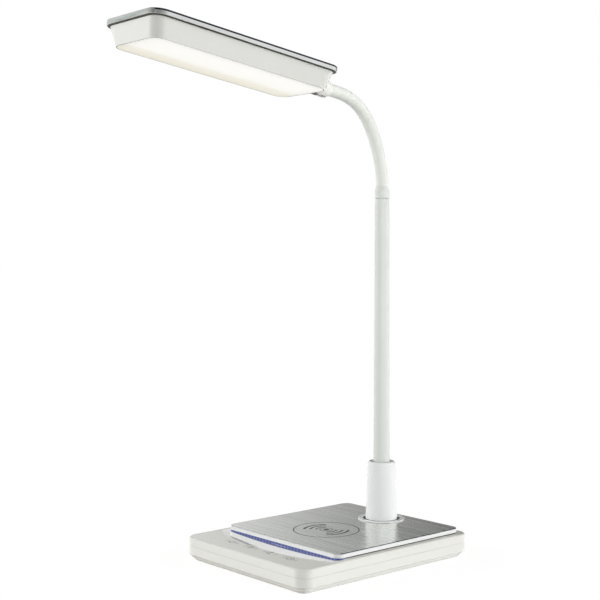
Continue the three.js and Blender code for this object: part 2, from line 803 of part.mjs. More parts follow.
function cupProfile(centre) {
  const floorAngle = Math.acos(neckBore / cupRadius);
  const rings = [];
  for (let step = 0; step <= ballSteps; step++) {
    const angle = THREE.MathUtils.lerp(cupRimAngle, floorAngle, step / ballSteps);
    rings.push([cupRadius * Math.cos(angle), centre - cupRadius * Math.sin(angle)]);
  }
  return rings;
}

// The lower half of a ball whose centre is at the height zero, bore first
function ballProfile() {
  const floorAngle = Math.acos(neckBore / neckRadius);
  const rings = [];
  for (let step = 0; step <= ballSteps; step++) {
    const angle = floorAngle * (1 - step / ballSteps);
    rings.push([neckRadius * Math.cos(angle), -neckRadius * Math.sin(angle)]);
  }
  return rings;
}

function ferruleGeometry() {
  const top = firstBall - cupDrop;
  const foot = stemTop + runningGap;
  const spigot = stemTopRadius - stemWall - runningGap;
  const profile = [
    [neckBore, foot - ferruleSpigot],
    [spigot, foot - ferruleSpigot],
    [spigot, foot],
    [stemTopRadius, foot],
    [stemTopRadius, top - ferruleChamfer],
    [neckRadius, top],
    ...cupProfile(firstBall),
  ];
  return loft(profile.map(([radius, z]) => circle(radius, z, neckSides)), true);
}

function linkGeometry() {
  const profile = [...ballProfile(), [neckRadius, neckPitch - cupDrop], ...cupProfile(neckPitch)];
  return loft(profile.map(([radius, z]) => circle(radius, z, neckSides)), true);
}

function endLinkGeometry() {
  const profile = [...ballProfile(), [neckRadius, endLinkLength], [neckBore, endLinkLength]];
  return loft(profile.map(([radius, z]) => circle(radius, z, neckSides)), true);
}

piece(post, 'post_socket', postGeometry(), whiteGloss);
piece(post, 'slide_washer', disc(flangeRadius, slideWasherLow, slideWasherLow + slideWasherThickness,
  roundSides, footRadius + runningGap), slidePlastic);
piece(post, 'friction_washer', disc(frictionWasherRadius, frictionWasherLow,
  frictionWasherLow + frictionWasherThickness, roundSides, shaftRadius + runningGap), slidePlastic);
piece(post, 'swivel_shaft', disc(shaftRadius, nutLow - shaftTail, shaftTop, smallSides, shaftBore), steel);
piece(post, 'swivel_nut', nutGeometry(), steel);
piece(post, 'stem_tube', stemGeometry(), paintedTube);
piece(post, 'neck_ferrule', ferruleGeometry(), paintedTube);

// Each link leans by its share of the whole bend, so the chain follows the neck's curve.
const neckEnd = new THREE.Group();
const ball = new THREE.Vector3(0, 0, firstBall);
let lean = 0;
neckBendShares.forEach((share, number) => {
  lean += THREE.MathUtils.degToRad(share * neckBend);
  const isLast = number === neckBendShares.length - 1;
  const link = isLast
    ? neckEnd
    : piece(post, `neck_link_${String(number + 1).padStart(2, '0')}`, linkGeometry(), softSleeve);
  link.position.copy(ball);
  link.rotation.x = lean;
  ball.y -= neckPitch * Math.sin(lean);
  ball.z += neckPitch * Math.cos(lean);
});
post.add(neckEnd);

// The coupler grips the last link and ends in a round fork with a slot for the head's tongue.
function couplerGeometry() {
  const flareStart = couplerStart + couplerMouthLength;
  const end = pivotReach + couplerRadius;
  const body = turned([
    [couplerMouthRadius, couplerStart],
    [couplerMouthRadius, flareStart],
    [couplerRadius, flareStart + couplerFlareLength],
    [couplerRadius, end],
  ], roundSides);
  const side = new THREE.Shape();
  side.moveTo(-couplerRadius - overrun, 0);
  side.lineTo(couplerRadius + overrun, 0);
  side.lineTo(couplerRadius + overrun, pivotReach);
  side.lineTo(couplerRadius, pivotReach);
  side.absarc(0, pivotReach, couplerRadius, 0, 2 * rightAngle, false);
  side.lineTo(-couplerRadius - overrun, pivotReach);
  const width = 2 * (couplerRadius + overrun);
  const sheet = { depth: width, bevelEnabled: false, curveSegments: smallSides };
  const profile = new THREE.ExtrudeGeometry(side, sheet)
    .translate(0, 0, -width / 2)
    .rotateY(rightAngle)
    .rotateX(rightAngle);
  const slotFloor = pivotReach - tongueRadius - runningGap;
  const slotHalf = tongueThickness / 2 + runningGap;
  const slot = block(
    [-slotHalf, -couplerRadius - overrun, slotFloor],
    [slotHalf, couplerRadius + overrun, end + overrun],
  );
  const grip = disc(neckRadius + runningGap, couplerStart - overrun, endLinkLength + runningGap, neckSides);
  const wireHole = disc(neckBore, couplerStart, slotFloor + overrun);
  const pinHole = alongX(disc(pinRadius + runningGap, -width / 2, width / 2)).translate(0, 0, pivotReach);
  return cut(overlapOf(body, profile), slot, grip, wireHole, pinHole);
}

const pinHalf = couplerRadius - pinEndSetback;
piece(neckEnd, 'neck_end_link', endLinkGeometry(), softSleeve);
piece(neckEnd, 'head_coupler', couplerGeometry(), whiteShell);
piece(neckEnd, 'tilt_pin', alongX(disc(pinRadius, -pinHalf, pinHalf)).translate(0, 0, pivotReach), steel);

// The head hangs on the tilt pin. In its own frame the free end points to -Y and the lid's top is at Z zero.
const head = new THREE.Group();
head.position.set(0, headRise, headReach);
head.rotation.x = -rightAngle;
neckEnd.add(head);

const lidOutline = outline(headWidth, headLength, lidCorner, -headLength / 2);
const headBottom = -headThickness;
const housingTop = -lidRimHeight - lidGap;
const gasketLow = housingTop + runningGap;
const gasketTop = -lidSheet - runningGap;
const gasketInset = lidSheet + runningGap;
const bottomInset = housingTopInset + housingTaper;
const mouthInset = bottomInset + mouthRim;
const diffuserTop = headBottom + diffuserThickness;
const ribLow = diffuserTop + runningGap;
const ribTop = ribLow + ribHeight;
const ribInset = mouthInset + ribReach;

// How far the housing's outer face is drawn in at a height
function taperAt(z) {
  return THREE.MathUtils.mapLinear(z, housingTop, headBottom, housingTopInset, bottomInset);
}

// A loop on or inside the housing. The outer corner keeps one radius from top to bottom,
// and a loop that lies deeper inside has its corners rounded by that much less.
function housingLoop(inset, z) {
  const radius = Math.max(housingCorner - (inset - taperAt(z)), smallestCorner);
  const shape = outline(headWidth, headLength, radius + inset, -headLength / 2);
  return loopOf(shape, inset, z);
}

// A level plate inside the housing
function housingPlate(inset, low, high) {
  return loft([housingLoop(inset, low), housingLoop(inset, high)]);
}

// Inner face, which runs beside the outer one from the step under the lid down to the rib
// that the opal face lies against
const innerStep = housingTop - innerStepDepth;
const spigotInset = gasketInset + gasketWidth + runningGap;
const spigotInner = spigotInset + spigotWall;
const ribWallInset = taperAt(ribTop) + housingWall;
function innerAt(z) {
  return THREE.MathUtils.mapLinear(z, innerStep, ribTop, spigotInner, ribWallInset);
}

const pivotY = headReach - pivotReach;
const tongueSlotTop = housingTop - innerStepDepth / 2;
const lightGuideLow = ribTop + runningGap;
const lightGuideTop = lightGuideLow + lightGuideThickness;
const reflectorLow = lightGuideTop + runningGap;
const reflectorTop = reflectorLow + reflectorThickness;
const spreaderLow = reflectorTop + runningGap;
const spreaderTop = spreaderLow + spreaderThickness;
const footPlateLow = spreaderTop + runningGap;
const footPlateTop = footPlateLow + footPlateThickness;

function lidGeometry() {
  return loft([
    loopOf(lidOutline, lidSheet, -lidSheet),
    loopOf(lidOutline, lidSheet, -lidRimHeight),
    loopOf(lidOutline, 0, -lidRimHeight),
    loopOf(lidOutline, 0, -lidEdgeRound),
    loopOf(lidOutline, lidEdgeRound, 0),
  ]);
}

// The seal fills the lid's rim and shows as a dark line in the gap over the housing.
function gasketGeometry() {
  return loft([
    loopOf(lidOutline, gasketInset, gasketLow),
    loopOf(lidOutline, gasketInset, gasketTop),
    loopOf(lidOutline, gasketInset + gasketWidth, gasketTop),
    loopOf(lidOutline, gasketInset + gasketWidth, gasketLow),
  ], true);
}

function housingGeometry() {
  const spigotTop = housingTop + spigotHeight;
  const walls = loft([
    housingLoop(bottomInset, headBottom),
    housingLoop(housingTopInset, housingTop),
    loopOf(lidOutline, spigotInset, housingTop),
    loopOf(lidOutline, spigotInset, spigotTop),
    loopOf(lidOutline, spigotInner, spigotTop),
    loopOf(lidOutline, spigotInner, innerStep),
    housingLoop(ribWallInset, ribTop),
    housingLoop(ribInset, ribTop),
    housingLoop(ribInset, ribLow),
    housingLoop(mouthInset, ribLow),
    housingLoop(mouthInset, headBottom),
  ], true);
  const slotHalf = tongueThickness / 2 + runningGap;
  const slot = block(
    [-slotHalf, -ribWallInset - overrun, tongueSlotLow],
    [slotHalf, overrun, tongueSlotTop],
  );
  return cut(walls, slot);
}

const stripOuterInset = innerAt(lightGuideLow) + runningGap;
const stripInnerInset = stripOuterInset + ledStripThickness;

function ledStripGeometry(side) {
  const outer = side * (headWidth / 2 - stripOuterInset);
  const inner = side * (headWidth / 2 - stripInnerInset);
  return block(
    [Math.min(outer, inner), -headLength + ledStripEndGap, lightGuideLow],
    [Math.max(outer, inner), -ledStripEndGap, lightGuideLow + ledStripHeight],
  );
}

// The tongue runs from the tilt pin through the housing's end wall to a foot on the heat spreader.
const tongueInsideLow = spreaderLow;
const tongueSlotLow = tongueInsideLow - runningGap;
const tongueTop = tongueSlotTop - runningGap;

function footScrewPlaces() {
  const y = -innerAt(spreaderLow) - runningGap - footPlateLength / 2;
  return [-1, 1].map((side) => [side * footScrewSpacing / 2, y]);
}

function footScrewHoles(low, high) {
  return footScrewPlaces().map(([x, y]) => {
    const hole = disc(smallScrewRadius + screwHoleGap, low - overrun, high + overrun);
    return hole.translate(x, y, 0);
  });
}

function tiltBracketGeometry() {
  const wallOutside = -taperAt(tongueInsideLow);
  const plateFront = -innerAt(spreaderLow) - runningGap;
  const pivotZ = -headRise;
  const shape = new THREE.Shape();
  shape.moveTo(pivotY, pivotZ + tongueRadius);
  shape.lineTo(0, tongueTop);
  shape.lineTo(plateFront - footPlateThickness, tongueTop);
  shape.lineTo(plateFront - footPlateThickness, footPlateLow);
  shape.lineTo(plateFront + runningGap, footPlateLow);
  shape.lineTo(plateFront + runningGap, tongueInsideLow);
  shape.lineTo(wallOutside, tongueInsideLow);
  shape.lineTo(wallOutside / 2, pivotZ - tongueRadius);
  shape.lineTo(pivotY, pivotZ - tongueRadius);
  shape.absarc(pivotY, pivotZ, tongueRadius, -rightAngle, rightAngle, false);
  const sheet = { depth: tongueThickness, bevelEnabled: false, curveSegments: smallSides };
  const tongue = new THREE.ExtrudeGeometry(shape, sheet)
    .translate(0, 0, -tongueThickness / 2)
    .rotateY(rightAngle)
    .rotateX(rightAngle);
  const foot = block(
    [-footPlateWidth / 2, plateFront - footPlateLength, footPlateLow],
    [footPlateWidth / 2, plateFront, footPlateTop],
  );
  const pinHole = alongX(disc(pinRadius + runningGap, -tongueThickness, tongueThickness))
    .translate(0, pivotY, pivotZ);
  return cut(join(tongue, foot), pinHole, ...footScrewHoles(footPlateLow, footPlateTop));
}

function spreaderGeometry() {
  const inset = innerAt(spreaderLow) + runningGap;
  return cut(housingPlate(inset, spreaderLow, spreaderTop), ...footScrewHoles(spreaderLow, spreaderTop));
}

const diffuserInset = mouthInset + runningGap;
const guideInset = stripInnerInset + runningGap;
const reflectorInset = innerAt(reflectorLow) + runningGap;
piece(head, 'metal_lid', lidGeometry(), brushedMetal);
piece(head, 'lid_gasket', gasketGeometry(), darkRubber);
piece(head, 'head_housing', housingGeometry(), whiteShell);
piece(head, 'diffuser', housingPlate(diffuserInset, headBottom, diffuserTop), opalFace);
piece(head, 'light_guide', housingPlate(guideInset, lightGuideLow, lightGuideTop), clearGuide);
piece(head, 'led_strip_left', ledStripGeometry(-1), boardGreen);
piece(head, 'led_strip_right', ledStripGeometry(1), boardGreen);
piece(head, 'reflector_sheet', housingPlate(reflectorInset, reflectorLow, reflectorTop), whiteGloss);
piece(head, 'heat_spreader', spreaderGeometry(), steel);
piece(head, 'tilt_bracket', tiltBracketGeometry(), darkMetal);
footScrewPlaces().forEach(([x, y], number) => {
  const seat = footPlateTop + runningGap;
  const name = `foot_screw_${['left', 'right'][number]}`;
  piece(head, name, screwDown(x, y, seat, seat - spreaderLow, smallScrew), steel);
});

export default lamp;
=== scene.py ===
# %% [markdown]
# # A desk lamp with a flexible neck and a charging base
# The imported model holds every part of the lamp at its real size, and it never moves here. This lesson puts
# the finish on it: smooth shells in place of faceted ones, brushed metal, opal light, and a pale studio round it.

# %% Load the fixed frame
import math

import bpy
import numpy as np
from mathutils import Matrix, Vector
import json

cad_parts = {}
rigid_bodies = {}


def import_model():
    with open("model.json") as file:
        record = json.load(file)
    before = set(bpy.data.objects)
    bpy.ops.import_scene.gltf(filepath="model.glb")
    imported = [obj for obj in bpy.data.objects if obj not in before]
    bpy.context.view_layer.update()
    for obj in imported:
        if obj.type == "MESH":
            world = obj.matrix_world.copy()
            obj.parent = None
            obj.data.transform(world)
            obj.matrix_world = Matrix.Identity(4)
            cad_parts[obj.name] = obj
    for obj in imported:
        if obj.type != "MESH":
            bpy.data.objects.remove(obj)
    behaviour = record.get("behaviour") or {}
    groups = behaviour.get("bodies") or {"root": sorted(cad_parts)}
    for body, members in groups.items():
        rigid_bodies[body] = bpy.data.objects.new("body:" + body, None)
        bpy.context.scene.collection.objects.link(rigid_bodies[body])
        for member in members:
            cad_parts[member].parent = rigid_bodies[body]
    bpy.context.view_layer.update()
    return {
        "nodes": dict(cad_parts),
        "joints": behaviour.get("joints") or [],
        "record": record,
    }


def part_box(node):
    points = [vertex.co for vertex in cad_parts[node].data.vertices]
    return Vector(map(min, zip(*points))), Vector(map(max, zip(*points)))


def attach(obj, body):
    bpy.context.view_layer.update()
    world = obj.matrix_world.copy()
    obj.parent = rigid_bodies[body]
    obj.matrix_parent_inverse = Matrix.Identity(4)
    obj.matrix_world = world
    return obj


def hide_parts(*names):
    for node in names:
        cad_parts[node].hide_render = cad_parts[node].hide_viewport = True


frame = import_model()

MM = 0.001
joints = {joint["name"]: joint for joint in frame["joints"]}
scene = bpy.context.scene


def new_object(name, data):
    """Makes an object and links it into the scene."""
    made = bpy.data.objects.new(name, data)
    scene.collection.objects.link(made)
    return made


# %% [markdown]
# ## The camera
# The camera comes first, because every look is judged through it. Its place, its turn and its lens were worked
# out from the straight edges of the base, the plate and the head. The frame is 600 pixels wide, and a focal
# length counted in pixels turns into millimetres through the width of the sensor.

# %% Camera
FRAME_PX = 600
FOCAL_PX = 1183.24
CAMERA_PLACE = (0.77276, -0.70765, 0.26577)
camera_turn, camera_dip = math.radians(48.878), math.radians(1.949)
camera_data = bpy.data.cameras.new("photo_camera")
camera_data.sensor_width = 36.0
camera_data.lens = FOCAL_PX / FRAME_PX * camera_data.sensor_width
camera = new_object("photo_camera", camera_data)
camera.location = CAMERA_PLACE
camera.rotation_euler = (math.pi / 2 - camera_dip, 0, camera_turn)
scene.camera = camera
print("lens in mm:", round(camera_data.lens, 2))

# %% [markdown]
# ## Node materials in a few words
# A material is a small graph of nodes. One helper adds a node, sets its inputs and links those inputs whose
# value is another node's output. With it, each finish is a short list of steps.

# %% Helpers for materials
def add(tree, kind, inputs=None, **settings):
    """Adds one shader node. An input whose value is a socket is linked, and any other value is set."""
    made = tree.nodes.new("ShaderNode" + kind)
    for name, value in settings.items():
        setattr(made, name, value)
    for name, value in (inputs or {}).items():
        if isinstance(value, bpy.types.NodeSocket):
            tree.links.new(value, made.inputs[name])
        else:
            made.inputs[name].default_value = value
    return made


def linear(red, green, blue):
    """A colour given as it looks on screen, 0 to 255, in the linear values that a shader takes."""
    seen = np.array([red, green, blue]) / 255
    return (*np.where(seen <= 0.04045, seen / 12.92, ((seen + 0.055) / 1.055) ** 2.4), 1.0)


finishes = {}


def new_material(name, **sockets):
    """A finish with one Principled shader. Sockets are named with _ in place of spaces."""
    material = finishes[name] = bpy.data.materials.new(name)
    material.use_nodes = True
    shader = material.node_tree.nodes["Principled BSDF"]
    for key, value in sockets.items():
        shader.inputs[key.replace("_", " ")].default_value = value
    return material.node_tree, shader


def wire(tree, shader, **outputs):
    """Links outputs to the shader's inputs, named in the same way."""
    for key, value in outputs.items():
        tree.links.new(value, shader.inputs[key.replace("_", " ")])


def grain(tree, size_mm, stretch=(1, 1, 1), detail=2.0):
    """Noise whose cells are about size_mm wide, read in object space and stretched along an axis."""
    place = add(tree, "TexCoord").outputs["Object"]
    scale = [1 / (size_mm * MM * share) for share in stretch]
    mapped = add(tree, "Mapping", {"Vector": place, "Scale": scale})
    noise = add(tree, "TexNoise", {"Vector": mapped.outputs[0], "Scale": 1.0, "Detail": detail})
    return noise.outputs["Fac"]


def spread(tree, value, low, high, start=0.3, end=0.7):
    """Maps a grey value from start and end to low and high."""
    inputs = {"Value": value, "From Min": start, "From Max": end, "To Min": low, "To Max": high}
    return add(tree, "MapRange", inputs).outputs[0]


def shade(tree, value, dark, light):
    """Mixes two colours by a grey value."""
    return add(tree, "Mix", {"Factor": value, 6: dark, 7: light}, data_type="RGBA").outputs[2]


def bump(tree, value, height_mm):
    return add(tree, "Bump", {"Height": value, "Distance": height_mm * MM}).outputs[0]


def calc(tree, operation, first, second=0.0):
    return add(tree, "Math", {0: first, 1: second}, operation=operation).outputs[0]

# %% [markdown]
# ## Moulded plastic, paint and soft sleeve
# The white shells are moulded plastic. Up close such a shell has a very fine skin, a roughness that wanders a
# little where it was handled, and a colour that is never quite even. The painted stem and the neck's sleeve
# differ only in their colour, roughness and grain.

# %% Plain finishes
TINT_MM, HANDLED_MM, ROUGHNESS_DRIFT = 45, 9, 0.03


def moulded(name, colour, roughness, grain_mm=0.7, height_mm=0.004, drift=0.02, **sockets):
    """A fine skin as bump, and a slow drift of the colour and of the roughness."""
    tree, shader = new_material(name, **sockets)
    slow = spread(tree, grain(tree, TINT_MM, detail=1.0), 0, 1)
    light = linear(*colour)
    dark = (*(part * (1 - drift) for part in light[:3]), 1.0)
    handled = grain(tree, HANDLED_MM, detail=3.0)
    wander = spread(tree, handled, roughness - ROUGHNESS_DRIFT, roughness + ROUGHNESS_DRIFT)
    skin = bump(tree, grain(tree, grain_mm), height_mm)
    wire(tree, shader, Base_Color=shade(tree, slow, dark, light), Roughness=wander, Normal=skin)


moulded("white_shell", (241, 241, 235), 0.14, height_mm=0.0015, drift=0.012)
# The head is the same white plastic as the base; this darker copy paints the shade that falls on it.
moulded("head_shell", (227, 228, 222), 0.2, height_mm=0.0015, drift=0.012)
# A darker copy for the housing's faces that look down round the mouth: painted shade.
moulded("shaded_mouth_rim", (176, 174, 163), 0.5)
moulded("white_gloss", (247, 248, 248), 0.1, height_mm=0.001, Coat_Weight=0.4, Coat_Roughness=0.04)
# The post and the coupler are the same white plastics as the ring and the base; these darker copies are painted
# shade, set against the soft boxes that light them.
moulded("post_gloss", (221, 223, 223), 0.2, height_mm=0.001, Coat_Weight=0.3, Coat_Roughness=0.08)
moulded("coupler_shell", (224, 225, 219), 0.35, height_mm=0.0015)
moulded("painted_tube", (207, 211, 206), 0.35, grain_mm=0.4)
moulded("neck_sleeve", (216, 218, 212), 0.5, grain_mm=0.5, height_mm=0.006)
moulded("dish_gloss", (250, 250, 248), 0.05, height_mm=0.0004, Metallic=0.9)
# A darker copy of the white shell for the flat top of the case: painted shade, for the dimmer light from above.
moulded("shaded_top_shell", (234, 234, 226), 0.14, height_mm=0.0015, drift=0.012)
# A darker copy of the white shell for the faces that look down to the front: painted shade where the case leans in
# over the floor.
moulded("shaded_front_underside", (216, 215, 205), 0.4)
# The seal's brown-grey is partly the rubber's own colour and partly painted shadow under the lid.
moulded("seal_and_shadow", (74, 71, 64), 0.6)
moulded("dark_rubber", (40, 40, 44), 0.7, grain_mm=1.2, height_mm=0.03, drift=0.15)
# Dark plastic for the parts that are black, and also for painted shadow under the plate, under the slab's edge and
# at the post's foot.
moulded("dark_plastic", (26, 26, 28), 0.45, drift=0.1)
moulded("dark_bracket", (66, 54, 46), 0.45, drift=0.1)
moulded("slide_plastic", (222, 217, 203), 0.45)
moulded("clear_guide", (246, 248, 246), 0.08, Transmission_Weight=0.9, IOR=1.49)
moulded("board", (36, 98, 66), 0.4, grain_mm=2.5, height_mm=0.02, drift=0.35)
print("plain finishes:", len(finishes))

# %% [markdown]
# ## Metals
# Brushed metal is drawn by a long thin noise: cells that are many times longer than wide look like the scratches
# of a belt. They change the colour a little, the roughness a little more, and lift the surface.

# %% Metal finishes
BROAD_WIDTH, BROAD_LENGTH = 12, 2  # the broad streaks, as shares of the fine ones
STREAK_RANGE, STREAK_ROUGHNESS, STREAK_HEIGHT_MM = (0.7, 1.3), 0.05, 0.002


def brushed(name, dark, light, roughness, along, streak_mm=0.35, length_mm=60):
    """Fine streaks over broad ones. Along is the axis that the brush ran along, 0 for X, 1 for Y and 2 for Z."""
    tree, shader = new_material(name, Metallic=1.0)
    stretch = [1.0, 1.0, 1.0]
    stretch[along] = length_mm / streak_mm
    fine = grain(tree, streak_mm, stretch, detail=3.0)
    shorter = BROAD_WIDTH / BROAD_LENGTH
    broad = grain(tree, streak_mm * BROAD_WIDTH, [1 if share == 1 else share / shorter for share in stretch])
    both = calc(tree, "ADD", fine, broad)
    tint = shade(tree, spread(tree, both, 0, 1, *STREAK_RANGE), linear(*dark), linear(*light))
    wander = spread(tree, both, roughness - STREAK_ROUGHNESS, roughness + STREAK_ROUGHNESS, *STREAK_RANGE)
    wire(tree, shader, Base_Color=tint, Roughness=wander, Normal=bump(tree, fine, STREAK_HEIGHT_MM))


brushed("plate_film", (220, 222, 217), (240, 242, 237), 0.27, along=0)
brushed("lid_metal", (216, 218, 217), (236, 238, 236), 0.3, along=1)
# The lid's ends: the same brushed metal with the brush turned, painted darker as shade.
brushed("lid_end", (152, 159, 155), (206, 211, 206), 0.3, along=0, length_mm=20)
# A pale copy for the front edge of the sheet: painted light on the same metal edge.
moulded("cut_edge", (208, 210, 206), 0.4)
brushed("steel", (150, 151, 153), (190, 191, 193), 0.35, along=2, length_mm=3)
brushed("weight_iron", (80, 80, 82), (112, 112, 114), 0.6, along=0)
brushed("ferrite", (44, 44, 47), (60, 60, 62), 0.7, along=1)
brushed("copper", (166, 96, 52), (205, 128, 76), 0.35, along=0)
# A dark metal edge: painted reflection on the lid's long top edges and on the sheet's edges.
brushed("dark_edge", (38, 43, 52), (62, 67, 78), 0.3, along=1)
print("all finishes:", len(finishes))

# %% [markdown]
# ## Surfaces from profiles
# Almost every part of this lamp is a profile carried round an outline: round a circle for the post, the stem
# and the collar, and round a rectangle with rounded corners for the base, the plate and the head. So one helper
# rounds the corners of a profile, two carry it round an outline, and one turns the rings into a mesh.
# Each arc gets one more point on the straight stretch beside it. Its smooth shading then ends within that narrow
# strip, and the flat faces stay flat to the light.

# %% Helpers for shapes
SUPPORT_MM, LEAST_CORNER = 0.25, 0.2


def rounded(points, steps=5, closed=False):
    """Rounds a path of (u, z, radius). An arc touches both of its straight sides: its centre lies on the line
    that halves the corner, at radius / sin(half the corner's angle)."""
    points = np.array(points, float)
    path = []
    for i, (u, z, radius) in enumerate(points):
        here = np.array([u, z])
        if radius == 0 or (not closed and i in (0, len(points) - 1)):
            path.append(here)
            continue
        before = points[i - 1, :2] - here
        after = points[(i + 1) % len(points), :2] - here
        before /= np.linalg.norm(before)
        after /= np.linalg.norm(after)
        half = math.acos(np.clip(before @ after, -1, 1)) / 2
        reach = radius / math.tan(half)
        centre = here + (before + after) / np.linalg.norm(before + after) * radius / math.sin(half)
        start = here + before * reach - centre
        end = here + after * reach - centre
        turn = math.atan2(start[0] * end[1] - start[1] * end[0], start @ end)
        angles = math.atan2(start[1], start[0]) + np.linspace(0, turn, steps + 1)
        path.append(here + before * (reach + SUPPORT_MM))
        path.extend(centre + radius * np.stack([np.cos(angles), np.sin(angles)], 1))
        path.append(here + after * (reach + SUPPORT_MM))
    return np.array(path)


def round_rings(profile, sides=96):
    """Carries (radius, z) round the Z axis: the point at angle t is (radius cos t, radius sin t, z)."""
    angle = np.linspace(0, 2 * np.pi, sides, endpoint=False)
    radius, z = profile[:, :1], profile[:, 1:]
    return np.stack([radius * np.cos(angle), radius * np.sin(angle), z + 0 * angle], -1)


def box_rings(profile, size, corner, centre_y=0.0, steps=12):
    """Carries (inset, z) round a rounded rectangle. A ring is the rectangle drawn in by the inset, and its
    corners are arcs whose radius is the corner's less the inset. Corner may be one number for each ring."""
    inset, z = profile[:, 0, None, None], profile[:, 1, None, None]
    corner = np.broadcast_to(np.asarray(corner, float).reshape(-1, 1, 1), inset.shape)
    radius = np.maximum(corner - inset, LEAST_CORNER)
    turn = np.concatenate([[0], np.linspace(0, np.pi / 2, steps + 1), [np.pi / 2]])
    beside = np.zeros((2, steps + 3))
    beside[0, -1] = beside[1, 0] = SUPPORT_MM
    quarter = np.arange(4)[:, None]
    angle = quarter * np.pi / 2 + turn
    sign_x = np.where((quarter == 0) | (quarter == 3), 1, -1)
    sign_y = np.where(quarter < 2, 1, -1)
    even = quarter % 2 == 0
    slide_x = np.where(even, beside[0], beside[1])
    slide_y = np.where(even, beside[1], beside[0])
    x = sign_x * (size[0] / 2 - inset - radius - slide_x) + radius * np.cos(angle)
    y = sign_y * (size[1] / 2 - inset - radius - slide_y) + radius * np.sin(angle) + centre_y
    return np.stack([x, y, z + 0 * x], -1).reshape(len(profile), -1, 3)


def mesh_from(name, rings, joined=False, place=None):
    """Joins neighbouring rings with quads. The ends get a flat cap, or the last ring meets the first one.
    The signed volume tells which way the faces point, and a negative one turns them all round."""
    count, sides = rings.shape[:2]
    ring = np.arange(count if joined else count - 1)[:, None]
    side = np.arange(sides)
    after = (ring + 1) % count
    beside = (side + 1) % sides
    quads = [ring * sides + side, ring * sides + beside, after * sides + beside, after * sides + side]
    faces = np.stack(quads, -1).reshape(-1, 4).tolist()
    if not joined:
        faces.append(list(range(sides))[::-1])
        faces.append(list(range((count - 1) * sides, count * sides)))
    points = rings.reshape(-1, 3) * MM
    if place is not None:
        turn = np.array(place.to_3x3())
        points = points @ turn.T + np.array(place.translation)
    mesh = bpy.data.meshes.new(name)
    mesh.from_pydata(points.tolist(), [], faces)
    mesh.calc_loop_triangles()
    corners = np.empty(len(mesh.loop_triangles) * 3, np.int32)
    mesh.loop_triangles.foreach_get("vertices", corners)
    a, b, c = points[corners.reshape(-1, 3)].transpose(1, 0, 2)
    if np.einsum("ij,ij->", a, np.cross(b, c)) < 0:
        mesh.flip_normals()
    return mesh


SMOOTH_BELOW = math.radians(32)


def piece(name, mesh, body, slot, stands_for=(), finish=None):
    """Makes a mesh a part of the lamp: it rides on a body and stands for the CAD nodes that it replaces."""
    made = new_object(name, mesh)
    mesh.materials.clear()
    mesh.materials.append(finishes[finish or slot])
    mesh.shade_smooth()
    mesh.set_sharp_from_angle(angle=SMOOTH_BELOW)
    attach(made, body)
    if stands_for:
        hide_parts(*stands_for)
    extent = np.ptp(np.array(made.bound_box), 0) / MM
    print(name, "-", len(mesh.polygons), "faces,", " x ".join(f"{length:.1f}" for length in extent), "mm")


def drilled(mesh, *cutters):
    """Cuts meshes away from a mesh with exact booleans, and returns the result."""
    blank = new_object("blank", mesh)
    tools = [new_object("tool", cutter) for cutter in cutters]
    for tool in tools:
        modifier = blank.modifiers.new("cut", "BOOLEAN")
        modifier.operation = "DIFFERENCE"
        modifier.solver = "EXACT"
        modifier.object = tool
    evaluated = blank.evaluated_get(bpy.context.evaluated_depsgraph_get())
    result = bpy.data.meshes.new_from_object(evaluated)
    for used in (blank, *tools):
        bpy.data.objects.remove(used)
    return result


def rod(radius, low, high, place, sides=96):
    """A cylinder along the Z axis of a place, for cutting holes."""
    return mesh_from("rod", round_rings(np.array([[radius, low], [radius, high]]), sides), place=place)


def block(low, high, place):
    """A box between two corners, for cutting slots."""
    x, y, z = zip(low, high)
    corners = [(x[i], y[j], z[k]) for k in (0, 1) for i, j in ((0, 0), (1, 0), (1, 1), (0, 1))]
    return mesh_from("block", np.array(corners, float).reshape(2, 4, 3), place=place)


def at(x, y, z):
    return Matrix.Translation((x * MM, y * MM, z * MM))


def of_faces(mesh, what):
    """The centre or the normal of every face, one row each."""
    values = np.empty(len(mesh.polygons) * 3)
    mesh.polygons.foreach_get(what, values)
    return values.reshape(-1, 3)


def more_finishes(mesh, number, *names):
    """Adds finishes to a mesh. Number says which one a face takes: 0 for its first, 1 for the first added."""
    for name in names:
        mesh.materials.append(finishes[name])
    mesh.polygons.foreach_set("material_index", number.astype(np.int32))

# %% [markdown]
# ## The case of the base
# The case is two moulded halves that meet on a thin parting line. The lower half leans inwards below, which makes
# the base look lighter than it is. Both halves are hollow shells: the profile runs up the outside and down the
# inside. The inlet and the screws need real holes, which are cut at the end.

# %% The lower half of the case
case_size = (160.0, 200.0)
case_corner = 12.0
case_bottom = 0.4
chamfer_inset, chamfer_top = 6.0, 6.1
parting = 13.7
parting_gap = 0.05
parting_round = 0.35
case_wall = 2.2
case_top = 21.2
top_round = 1.5
floor_top = 3.2
flange = 1.5
pad_size, pad_corner, pad_gap = (132.0, 172.0), 6.0, 0.3
pad_roof = 1.3
screw_radius, inlet_radius, post_hole_radius = 3.1, 4.3, 17
post_y = joints["post_swivel"]["pos_m"][1] / MM
slab_size, slab_corner, slab_y = (146.7, 149.0), 7.0, 18.4
riser_inset, riser_top = 3.0, 21.8
rear = case_size[1] / 2

